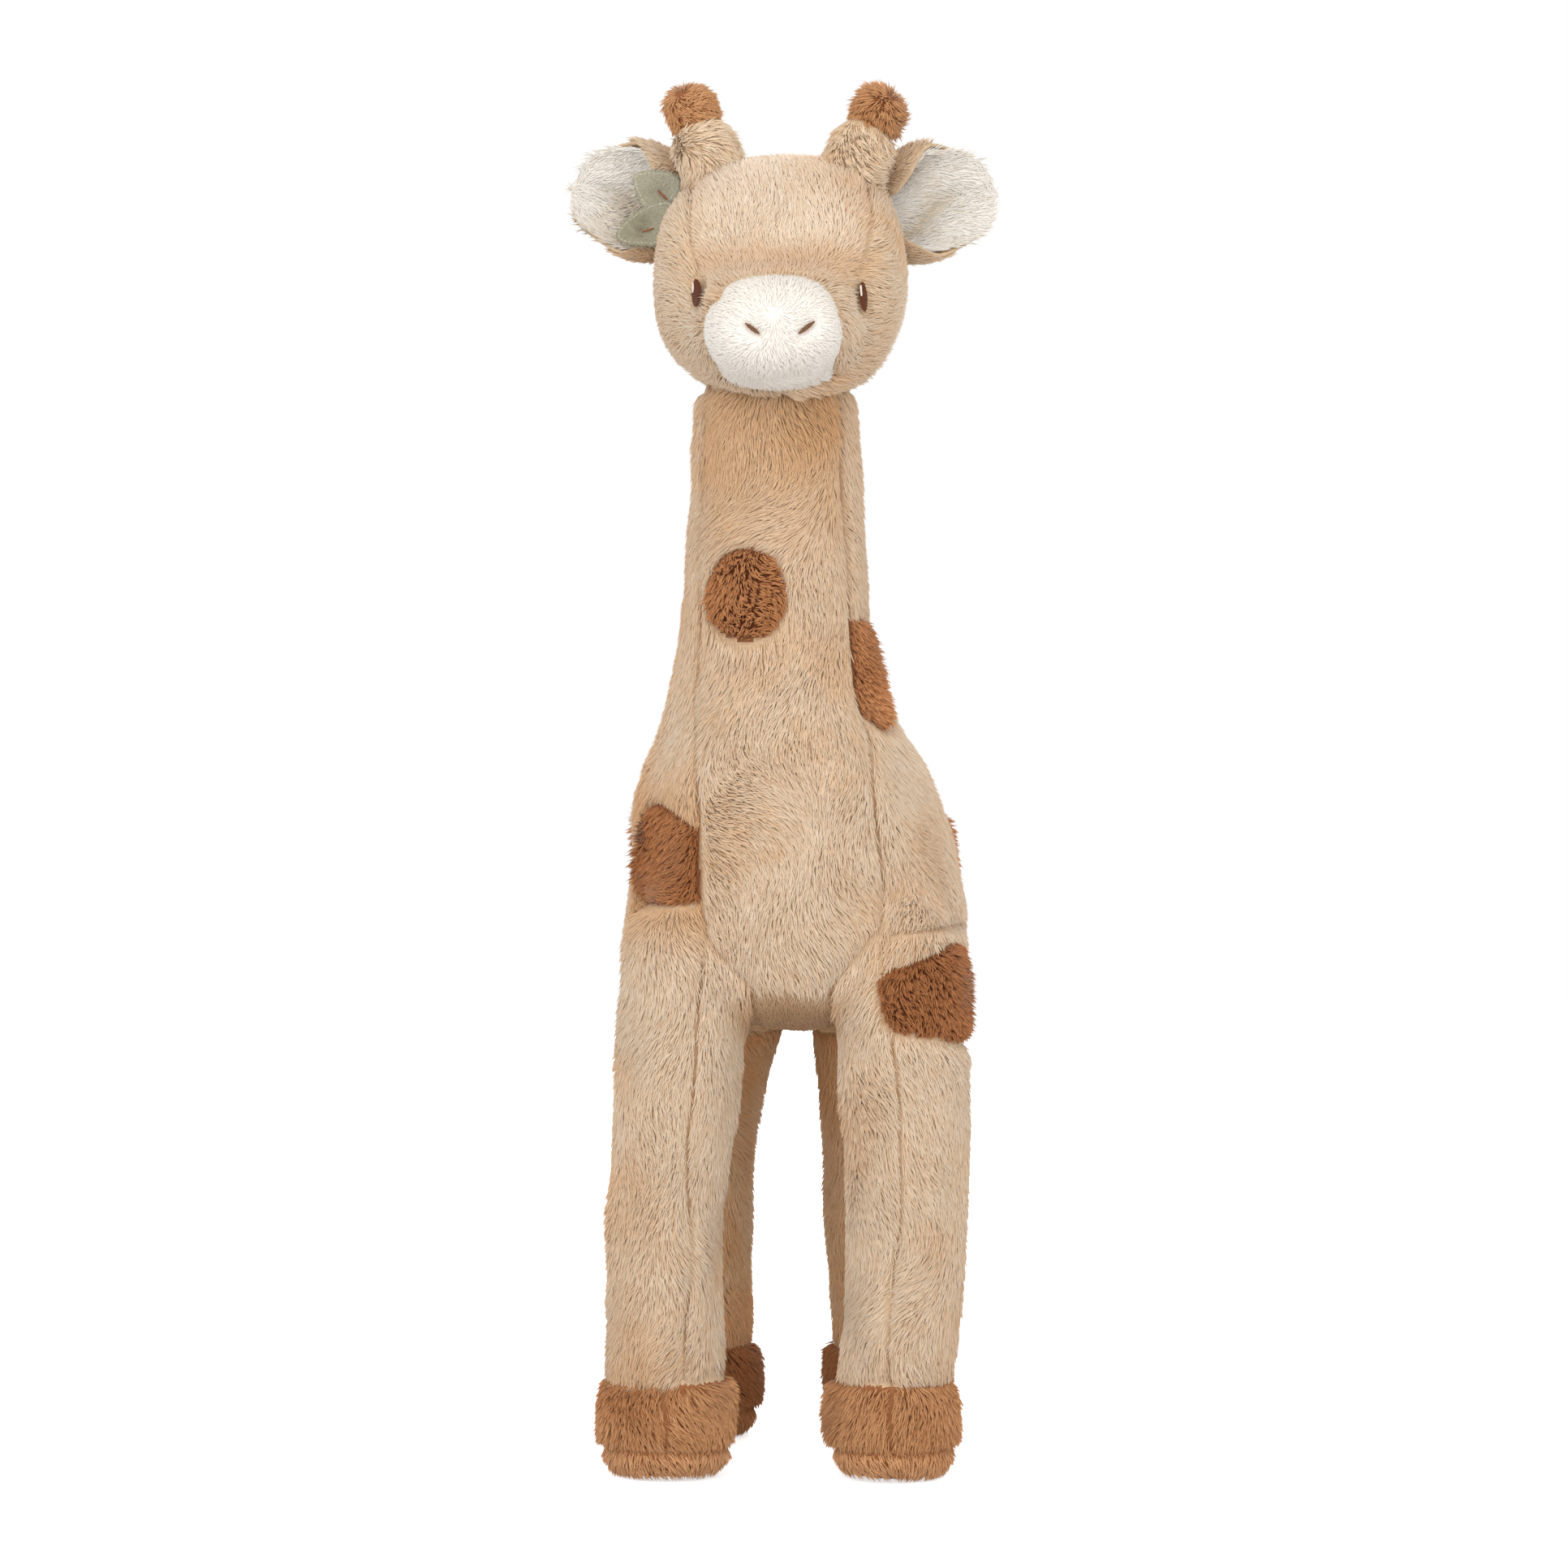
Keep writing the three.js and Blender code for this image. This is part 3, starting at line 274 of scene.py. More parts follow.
def joined(name, parts):
    bpy.ops.object.select_all(action="DESELECT")
    for part in parts:
        part.select_set(True)
    bpy.context.view_layer.objects.active = parts[0]
    bpy.ops.object.join()
    parts[0].name = name
    return parts[0]


def applied(piece, kind, **settings):
    pickOnly(piece)
    modifier = piece.modifiers.new(kind.lower(), kind)
    for key, value in settings.items():
        setattr(modifier, key, value)
    bpy.ops.object.modifier_apply(modifier=modifier.name)


def fused(piece, own):
    # One even skin over everything in the piece
    applied(piece, "REMESH", mode="VOXEL", voxel_size=own["voxel"] * mm, use_smooth_shade=True)
    inEditMode(piece)
    bpy.ops.mesh.vertices_smooth(factor=0.5, repeat=own["smooth"])
    bpy.ops.object.mode_set(mode="OBJECT")


stuffing = {"held": 4, "pressure": 4, "frames": 20, "seamWide": 1.9}


def stuffed(piece, own, read):
    # Blows the skin up by cloth simulation while its seams hold it, and draws the seams in
    before = placesOf(piece)
    gap = read(before)[1].gap
    held = np.clip(1 - gap / (stuffing["held"] * mm), 0, 1)
    group = piece.vertex_groups.new(name="seams")
    for index in np.nonzero(held > 0)[0]:
        group.add([int(index)], float(held[index]), "REPLACE")
    pickOnly(piece)
    modifier = piece.modifiers.new("stuffing", "CLOTH")
    cloth = modifier.settings
    cloth.use_pressure = True
    cloth.uniform_pressure_force = stuffing["pressure"]
    cloth.effector_weights.gravity = 0
    cloth.vertex_group_mass = "seams"
    for number in range(stuffing["frames"]):
        scene.frame_set(number + 1)
    bpy.ops.object.modifier_apply(modifier="stuffing")
    scene.frame_set(1)
    piece.vertex_groups.clear()
    step = placesOf(piece) - before
    length = np.linalg.norm(step, axis=1, keepdims=True)
    step *= np.minimum(1, own["swell"] * mm / np.maximum(length, 1e-9))
    movePoints(piece, before + step)
    raised(piece, -own["sink"] * mm * near(gap, stuffing["seamWide"]))


def linked(name, mesh):
    piece = bpy.data.objects.new(name, mesh)
    scene.collection.objects.link(piece)
    return piece


def slicedTo(piece, name, planes):
    # A closed copy of what lies behind each plane, given as a point in mm and a normal
    own = linked(name, piece.data.copy())
    inEditMode(own)
    for point, normal in planes:
        bpy.ops.mesh.select_all(action="SELECT")
        place = Vector(point) * mm
        bpy.ops.mesh.bisect(plane_co=place, plane_no=normal, clear_outer=True, use_fill=True)
        bpy.ops.mesh.faces_shade_flat()
    bpy.ops.object.mode_set(mode="OBJECT")
    return own


def near(gap, wide):
    # 1 at a seam, fading to 0 past this width in mm
    return np.exp(-((gap / (wide * mm)) ** 2))


def ramp(values, start, end):
    # 0 up to the start, rising to 1 at the end, which may be the lower of the two
    return np.clip((values - start) / (end - start), 0, 1)


def rippled(places, scale, seed):
    # Smooth noise of about -1 to 1, with features of this size in mm
    random = np.random.default_rng(seed)
    waves = random.normal(size=(7, 3)) / (scale * mm)
    phases = random.uniform(0, 2 * math.pi, 7)
    return np.sin(places @ waves.T + phases).sum(1) / 2.6


def lumpy(piece, own):
    # Uneven stuffing
    height, size, seed = own["lumps"]
    raised(piece, rippled(placesOf(piece), size, seed) * height * mm)


def finer(piece):
    applied(piece, "SUBSURF", levels=1, render_levels=1)


def softened(form, own, read):
    # The built form as a stuffed skin, by its own settings and the seams that are read on it
    fused(form, own)
    stuffed(form, own, read)
    finer(form)
    lumpy(form, own)
    say(form.name, len(form.data.vertices))
    return form


# Seams: outlines seen from one side, in mm

def rounded(corners, times=2):
    # An outline with its corners cut round
    points = np.array(corners, float)
    for _ in range(times):
        after = np.roll(points, -1, 0)
        points = np.stack([points * 0.75 + after * 0.25, points * 0.25 + after * 0.75], 1).reshape(-1, 2)
    return points


def oval(wide, tall, count=28):
    angles = np.linspace(0, 2 * math.pi, count, endpoint=False)
    return np.stack([wide / 2 * np.cos(angles), tall / 2 * np.sin(angles)], 1)


# A shape sewn into the surface: its outline about a middle, seen from where it faces, which is
# straight ahead or turned by an angle towards the toy's left

class Patch:
    def __init__(self, outline, middle=(0, 0, 0), turn=0):
        angle = math.radians(turn)
        self.outline = np.array(outline) * mm
        self.middle = np.array(middle, float) * mm
        self.out = np.array([math.sin(angle), -math.cos(angle), 0.0])
        self.across = np.cross(upward, self.out)

    def read(self, places):
        # How far outside the outline each place is, the way from the outline to it, and whether
        # the place is on the side that the patch faces
        off = places - self.middle
        flat = np.stack([off @ self.across, off @ upward], 1)
        nearest = np.full(len(flat), np.inf)
        foot = np.zeros_like(flat)
        inside = np.zeros(len(flat), bool)
        for start, end in zip(self.outline, np.roll(self.outline, -1, 0)):
            edge = end - start
            share = np.clip((flat - start) @ edge / (edge @ edge), 0, 1)
            touch = start + share[:, None] * edge
            gap = np.linalg.norm(flat - touch, axis=1)
            closer = gap < nearest
            nearest[closer] = gap[closer]
            foot[closer] = touch[closer]
            if start[1] != end[1]:
                level = (start[1] > flat[:, 1]) != (end[1] > flat[:, 1])
                inside ^= level & (flat[:, 0] < start[0] + edge[0] * (flat[:, 1] - start[1]) / edge[1])
        facing = off @ self.out > 0
        away = (flat - foot) / np.maximum(nearest, 1e-9)[:, None]
        away = away[:, :1] * self.across + away[:, 1:] * upward
        return np.where(inside, -nearest, nearest), away, facing


# The nearest seam to each place, gathered seam by seam

class SeamReading:
    def __init__(self, places):
        self.gap = np.full(len(places), far)
        self.away = np.zeros_like(places)

    def add(self, gap, away, where):
        # A seam, as how far each place is past it and the way there
        closer = where & (np.abs(gap) < self.gap)
        self.gap[closer] = np.abs(gap)[closer]
        self.away[closer] = away[closer]

    def addAcross(self, gap, way, where):
        # A seam that the places on both sides lie along this way from
        self.add(gap, np.sign(gap)[:, None] * way, where)


# The body: torso, neck and legs as one form, with the seams that the cover has

body = {
    "rings": [  # height, middle x, half width, front y, back y
        (160, 4, 10, -22, 54), (161.5, 4, 18, -32, 64), (164.5, 3.9, 29, -45, 77), (169.5, 3.9, 44, -56, 87),
        (176, 4.2, 56, -62.5, 92.5), (184, 4.3, 61.5, -65.5, 95), (198, 4.3, 61.6, -66.8, 96.3),
        (212, 4.2, 60, -67, 96.3), (226, 3.2, 58.5, -66.5, 95), (237, 1.2, 56.8, -65.5, 92),
        (245, 0.4, 54.4, -64.3, 88.5), (252, 0.2, 51.7, -63, 84), (259, -0.2, 48.9, -61.5, 77),
        (266, -0.4, 45.2, -60, 67), (273, -0.9, 41.4, -58.5, 52), (280, -1.4, 39.2, -57.3, 37),
        (287, -1.8, 36.8, -56.4, 27), (301, -2, 33.7, -55.4, 17.5), (316, -2, 32.6, -55, 12.5),
        (330, -2, 31.4, -54.6, 9.5), (344, -1.9, 30.4, -54.4, 6.5), (358, -1.9, 29.4, -55, 3.5),
        (373, -2, 29, -55.8, 0.5), (387, -1.8, 28.2, -56, -2), (398, -1.6, 26.5, -54, -4.5),
        (403, -1.6, 21, -50, -10),
    ],
    "legRings": {  # height, middle x, radius
        "front_right": [(208, -33, 15), (196, -34.2, 20.5), (180, -34.8, 21.4), (153, -36, 22),
                        (125, -38.6, 21.2), (96, -41, 19.4), (67, -41.7, 19.6), (45, -42, 20.2),
                        (36, -41.6, 20), (28, -41, 17)],
        "front_left": [(208, 39, 15), (196, 41.8, 21), (180, 43.4, 22.2), (153, 44.6, 22.4), (125, 46, 21.8),
                       (96, 46, 20.4), (67, 44.8, 20.4), (45, 43.2, 20), (36, 41.6, 19.4), (28, 40.4, 17)],
        "rear_right": [(206, -34, 17), (196, -34, 22), (182, -32.6, 27), (171, -31.4, 31.4), (160, -31.6, 30),
                       (148, -33.4, 26.6), (136, -35, 23.6), (120, -35.8, 22),
                       (96, -36.4, 20.6), (67, -36.4, 20.4), (45, -36, 20.4), (36, -36, 20), (28, -35.6, 17)],
        "rear_left": [(206, 36, 17), (196, 36, 22), (182, 36, 27), (171, 36.6, 29.6), (160, 36.8, 28),
                      (148, 36.6, 25.2), (136, 36.2, 23.2), (120, 36, 22.4),
                      (96, 36, 21.4), (67, 36.4, 21), (45, 37, 20.6), (36, 37, 20), (28, 37, 17)],
    },
    "legDepth": 1.04,
    "legCut": 157,  # where the legs leave the torso's piece
    "legFollow": 98,
    "neckCut": 287,
    "neckFollow": 344,
    "back": -15,  # behind it the throat gusset ends
    "gussetFoot": 160, "spineFoot": 190,  # heights where the gusset's and the back's seams end
    "belly": {"x": 4.5, "half": 14.5, "top": 179},
    "headTop": 393,  # above it the head hides the neck, and below the next one the hoof hides the leg
    "hoofTop": 33,
    "voxel": 3.4, "smooth": 9,
    "swell": 2.4, "sink": 1.3,  # of the stuffed panels and of their seams
    "lumps": (0.45, 9, 3),  # height, size and seed
}
legNames = ("front_left", "front_right", "rear_left", "rear_right")
legPivots = {name: pivots[f"{name}_leg_swing"] for name in legNames}
legMiddle = (legPivots["front_left"][1] + legPivots["rear_left"][1]) / 2

# The throat and chest gusset, down both of its sides to the belly
gusset = Patch([
    (20, 402), (20.6, 380), (23.5, 327), (26.4, 284), (30.8, 269), (34.6, 240), (37, 211), (36, 200),
    (19.5, 180), (18.5, 168), (18.5, 150), (-9, 150), (-9, 168), (-9.5, 179.5), (-26.5, 197), (-28, 211),
    (-28.8, 240), (-28.8, 269), (-28.2, 327), (-26.5, 380), (-25, 402),
])
frontLegSeams = {  # x at height, down the front of each foreleg
    "front_right": ((197, -27.5), (153, -29.2), (125, -31.8), (67, -32.7), (38, -33.2)),
    "front_left": ((197, 37.5), (168, 39.6), (139, 42.5), (110, 43.3), (81, 42.5), (52, 40.4), (38, 38.7)),
}
shoulderSeam = {"height": 196.5, "x": 40, "slope": 0.12, "from": 38, "back": 10}
spots = {
    "neck_throat_spot": Patch(oval(29, 34), (-11.9, 0, 318.3), 0),
    "neck_left_spot": Patch(
        rounded([(-26, 20), (8, 20), (16, 4), (12, -18), (-2, -22), (-26, -8)]), (0, -15, 290.7), 68),
    "neck_right_spot": Patch(rounded([(0, 15), (11, 6), (9, -12), (-6, -14), (-12, 2)]), (0, -8, 338), -112),
    "body_right_shoulder_spot": Patch(
        rounded([(-14, 21), (2, 20), (28, 8), (28, -17), (-16, -16), (-25, 2)]), (4, -5, 223), -52),
    "body_left_flank_spot": Patch(
        rounded([(-14, 18), (9, 20), (19, 2), (10, -18), (-12, -15), (-20, 2)]), (0, 36, 222), 94),
    "body_right_flank_spot": Patch(
        rounded([(-10, 16), (12, 15), (17, -3), (6, -16), (-14, -13)]), (0, 43, 229.4), -90),
    "body_left_rump_spot": Patch(
        rounded([(-8, 14), (10, 12), (13, -6), (-2, -14), (-13, -3)]), (0, 50, 232), 128),
    "front_left_leg_spot": Patch(
        rounded([(-16.7, 9.5), (-16, -1), (-15.4, -11.8), (-6, -13.6), (12, -16.2), (22, -16), (29, -8),
                 (31, 6), (27, 17), (18, 21), (9, 19), (-4, 14)], 1), (41, -41, 174), 40),
    "rear_right_leg_spot": Patch(
        rounded([(-10, 14), (9, 15), (15, 0), (8, -15), (-9, -12), (-15, 2)]), (-36, 67, 140), -90),
}
firstSpot = 10  # the panels are 0 gusset, 1 left, 2 right, 3 belly, and the spots from here on


def legOf(places):
    # Which leg's side of the body each place is on, as an index into legNames
    return np.where(places[:, 1] < legMiddle, 0, 2) + (places[:, 0] < 0)


def readBody(places):
    # The panel that each place is on, and the nearest seam
    x, y, z = places.T
    seams = SeamReading(places)
    inGusset, away, _ = gusset.read(places)
    behind = y > body["back"] * mm
    seams.add(inGusset, away, (y < body["back"] * mm) & (z > body["gussetFoot"] * mm))
    spine = behind & (z > body["spineFoot"] * mm)
    seams.add(x, np.where(x > 0, 1.0, -1.0)[:, None] * leftward, spine)
    panel = np.where((inGusset < 0) & ~behind, 0, np.where(x > 0, 1, 2))
    belly = body["belly"]
    panel[(np.abs(x - belly["x"] * mm) < belly["half"] * mm) & (z < belly["top"] * mm)] = 3
    leg = legOf(places)
    onLeg = z < body["legCut"] * mm
    for name, line in frontLegSeams.items():
        heights, across = np.array(line[::-1]).T * mm
        mine = (leg == legNames.index(name)) & (z < heights[-1]) & (y < legPivots[name][1])
        seams.addAcross(x - np.interp(z, heights, across), leftward, mine)
    for name in legNames:  # down the back of each leg
        mine = (leg == legNames.index(name)) & (y > legPivots[name][1]) & onLeg
        seams.addAcross(x - legPivots[name][0], leftward, mine)
    shoulder = (x > shoulderSeam["from"] * mm) & (y < shoulderSeam["back"] * mm)
    rise = shoulderSeam["slope"] * (x - shoulderSeam["x"] * mm)
    seams.addAcross(z - shoulderSeam["height"] * mm - rise, upward, shoulder)
    for index, (name, patch) in enumerate(spots.items()):
        inSpot, away, facing = patch.read(places)
        part = facing & (inGusset * (1 if name != "neck_throat_spot" else -1) > 0)
        if "_leg_" in name:
            part &= leg == legNames.index(name[: -len("_leg_spot")])
        elif "neck" not in name:
            part &= ~onLeg
        if name != "neck_throat_spot" and not name.startswith(("neck_left", "body_right_s", "front_left")):
            part = facing & (x * patch.out[0] > 0)
        seams.add(inSpot, away, part)
        panel[part & (inSpot < 0)] = firstSpot + index
    return panel, seams


def makeBody():
    rings = [
        (z, x, (front + back) / 2, half, (back - front) / 2) for z, x, half, front, back in body["rings"]
    ]
    parts = [lofted("torso_form", rings, 48, 2.25)]
    for name, levels in body["legRings"].items():
        y = legPivots[name][1] / mm
        rings = [(z, x, y, radius, radius * body["legDepth"]) for z, x, radius in reversed(levels)]
        parts.append(lofted(f"{name}_form", rings, 32))
    return softened(joined("body_form", parts), body, readBody)


# The head, built lying on its back so that its rings stack upwards, then stood up

head = {
    "rings": [  # y, half width, lowest, highest
        (-13.5, 15, 418, 444), (-9.5, 26, 408, 456), (-3, 35, 400.5, 466), (6, 40.5, 394.5, 472),
        (18, 43.4, 391.5, 475.6), (31, 44.4, 390.3, 476.8), (44, 44.2, 390, 476), (55, 42.4, 390, 471.5),
        (64, 39.2, 390.3, 463), (71, 35.4, 390.8, 453), (77, 31.4, 391.2, 444), (83, 28.5, 391.6, 437),
        (90, 26.3, 392, 432), (97, 24.4, 392.8, 429.4), (103, 21.8, 395, 426.6), (106.8, 17.6, 398.6, 422.8),
        (108.8, 11.6, 403.4, 417.6),
    ],
    "voxel": 2.6, "smooth": 7, "swell": 2.0, "sink": 0.9, "lumps": (0.3, 8, 5),
    "noseBack": -72,  # this and the next are y, of the white nose, the brow and the marks on the face
    "browBack": -20, "browSeam": (-80, -30), "faceFront": -50, "noseFront": -90,
    "browHalf": 24,
    "whorl": (0, -112, 407),  # where the pile runs out from
    "backNap": (-30, -10),  # y, from where it runs down instead
    # the brow's fold gets painted shade; its rim is only darker
    "brow": {"height": 432, "wide": 7.0, "x": (38, 28), "rim": (-9, 0)},  # its darker fold and rim
    # painted shade on the top of the white nose, darker upwards against the light from above
    "noseShade": {"most": 0.8, "height": (408, 424)},
}
muzzleOutline = Patch(rounded([
    (-15.4, 424.6), (-5, 426.6), (8, 426.4), (16.5, 423.6), (22, 415.5), (24, 405), (19.2, 395.4), (11, 387),
    (0, 384.8), (-10, 387), (-18.8, 394.4), (-23.6, 403), (-24.6, 410.5), (-21.6, 416), (-17.2, 418.2),
], 1), (0, -20, 0))
browOutline = Patch(rounded([
    (-28, 482), (-31, 462), (-30, 446), (-27, 431), (-18, 425), (0, 428), (18, 425), (28, 431), (32, 446),
    (32, 462), (29, 482),
], 1), (0, -20, 0))

# The stitched marks: middle, width, height and tilt, and how far the threads stand off the head
eyes = {
    "left": {"middle": (28.8, 421.4), "wide": 3.2, "tall": 10.4, "tilt": 2, "glint": (-1.2, 1.7, 0.6, 3.8)},
    "right": {"middle": (-25.9, 422.1), "wide": 3.9, "tall": 10.6, "tilt": 6, "glint": (-1.0, 2.0, 0.7, 3.6)},
}
nostrilEnds = {"left": ((8.4, 406.1), (14, 410.5)), "right": ((-4.5, 406), (-9.6, 409.9))}
stitches = {"pitch": 0.36, "thread": 0.24, "arch": 0.35, "eyeLift": 2.4, "glintLift": 2.8,
            "nostrilLift": 1.6, "nostrilWide": 1.75}


def nostril(ends):
    (x1, z1), (x2, z2) = ends
    across, up = x2 - x1, z2 - z1
    tilt = math.degrees(math.atan2(-across, up))
    middle = ((x1 + x2) / 2, (z1 + z2) / 2)
    return {"middle": middle, "wide": stitches["nostrilWide"], "tall": math.hypot(across, up), "tilt": tilt}


nostrils = {side: nostril(ends) for side, ends in nostrilEnds.items()}


def barePatch(mark, margin):
    # The outline round a mark that the pile leaves bare
    angle = math.radians(mark["tilt"])
    turn = np.array([[math.cos(angle), math.sin(angle)], [-math.sin(angle), math.cos(angle)]])
    x, z = mark["middle"]
    return Patch(oval(mark["wide"] + 0.9, mark["tall"] + margin) @ turn, (x, 0, z))


bareEyes = [barePatch(mark, 0.9) for mark in eyes.values()]
bareNostrils = [barePatch(mark, 1) for mark in nostrils.values()]


def readHead(places):
    x, y, z = places.T
    seams = SeamReading(places)
    inMuzzle, away, _ = muzzleOutline.read(places)
    nose = y < head["noseBack"] * mm
    seams.add(inMuzzle, away, nose)
    inBrow, away, _ = browOutline.read(places)
    low, high = head["browSeam"]
    seams.add(inBrow, away, (y < high * mm) & (y > low * mm) & (np.abs(x) > head["browHalf"] * mm))
    for eye, hole in zip(bareEyes, bareNostrils):
        for patch, front in ((eye, head["faceFront"]), (hole, head["noseFront"])):
            gap, away, _ = patch.read(places)
            seams.add(np.maximum(gap, 0), away, y < front * mm)
    middle = ((y > -20 * mm) & (z > 400 * mm)) | ((z < 410 * mm) & (y > -70 * mm))
    seams.add(x, np.where(x > 0, 1.0, -1.0)[:, None] * leftward, middle)
    panel = np.where(x > 0, 2, 3)
    panel[(inBrow < 0) & (y < head["browBack"] * mm)] = 1
    panel[nose & (inMuzzle < 0)] = 0
    return panel, seams


def makeHead():
    rings = [(y, 0, (low + high) / 2, half, (high - low) / 2) for y, half, low, high in head["rings"]]
    form = lofted("head_form", rings, 48, 2.3)
    form.data.transform(Matrix.Rotation(math.pi / 2, 4, "X"))
    outwards(form)
    return softened(form, head, readHead)


# Pile: one tuft of fibre, copied all over each cover

def strandShape():
    # One fibre tuft: across and up in half widths, and from its root at 0 to its tip at 1
    cone = made(bpy.ops.mesh.primitive_cone_add, vertices=3, radius1=1, radius2=0, depth=1)
    for vertex in cone.data.vertices:
        across = vertex.co.x
        if vertex.co.z > 0:
            vertex.co = (0, 0, 1)
        elif abs(across) < 0.1:
            vertex.co = (0, 0, 0)
        else:
            vertex.co = (math.copysign(0.95, across), 0.3, 0.42)
    outwards(cone)
    shape = np.array([vertex.co for vertex in cone.data.vertices])
    faces = np.array([polygon.vertices for polygon in cone.data.polygons])
    bpy.data.objects.remove(cone)
    return shape, faces


strand, strandFaces = strandShape()
flank = np.sign(strand[strandFaces][:, :, 0].sum(1).round(3))  # which of its sides each face is on, 0 on top


def unit(vectors):
    return vectors / np.maximum(np.linalg.norm(vectors, axis=-1, keepdims=True), 1e-9)


def laidFlat(ways, outs):
    # Directions along the surface
    return unit(ways - (ways * outs).sum(1, keepdims=True) * outs)


def scattered(form, look, seed, fromSphere=False):
    # Even random roots on a form, with the surface's normals there
    density = pile[look]["density"] * 1
    form.data.calc_loop_triangles()
    corners = readAll(form.data.loop_triangles, "vertices", np.int32)
    if fromSphere:  # its faces come in a different order each run
        corners = np.sort(corners, 1)
        corners = corners[np.lexsort(corners.T)]
    places, normals = placesOf(form), normalsOf(form)
    a, b, c = (places[corners[:, i]] for i in range(3))
    area = np.linalg.norm(np.cross(b - a, c - a), axis=1) / 2
    total = np.cumsum(area)
    random = np.random.default_rng(seed)
    count = int(total[-1] / mm**2 * density)
    target = (np.arange(count) + random.uniform(size=count)) / count * total[-1]
    face = np.minimum(np.searchsorted(total, target), len(area) - 1)
    one, two = random.uniform(size=(2, count))
    flip = one + two > 1
    one[flip], two[flip] = 1 - one[flip], 1 - two[flip]
    shares = np.stack([1 - one - two, one, two], 1)[:, :, None]
    roots = (places[corners[face]] * shares).sum(1)
    outs = unit((normals[corners[face]] * shares).sum(1))
    return (roots, outs, corners[face], shares) if fromSphere else (roots, outs)


def chances(count, seed, look):
    # A number for each root, which grows only where that is below its own look's density
    return np.random.default_rng(seed).uniform(size=count) * pile[look]["density"]


clumpJitter = np.random.default_rng(11).uniform(size=(4096, 3))


def clumpCentres(places, size):
    # The middle of the clump that each place belongs to
    cell = np.floor(places / size).astype(np.int64)
    best = np.full(len(places), np.inf)
    found = places.copy()
    for shift in np.ndindex(3, 3, 3):
        close = cell + np.array(shift) - 1
        index = (close[:, 0] * 73856093 ^ close[:, 1] * 19349663 ^ close[:, 2] * 83492791) % len(clumpJitter)
        centre = (close + clumpJitter[index]) * size
        gap = ((centre - places) ** 2).sum(1)
        closer = gap < best
        best[closer] = gap[closer]
        found[closer] = centre[closer]
    return found


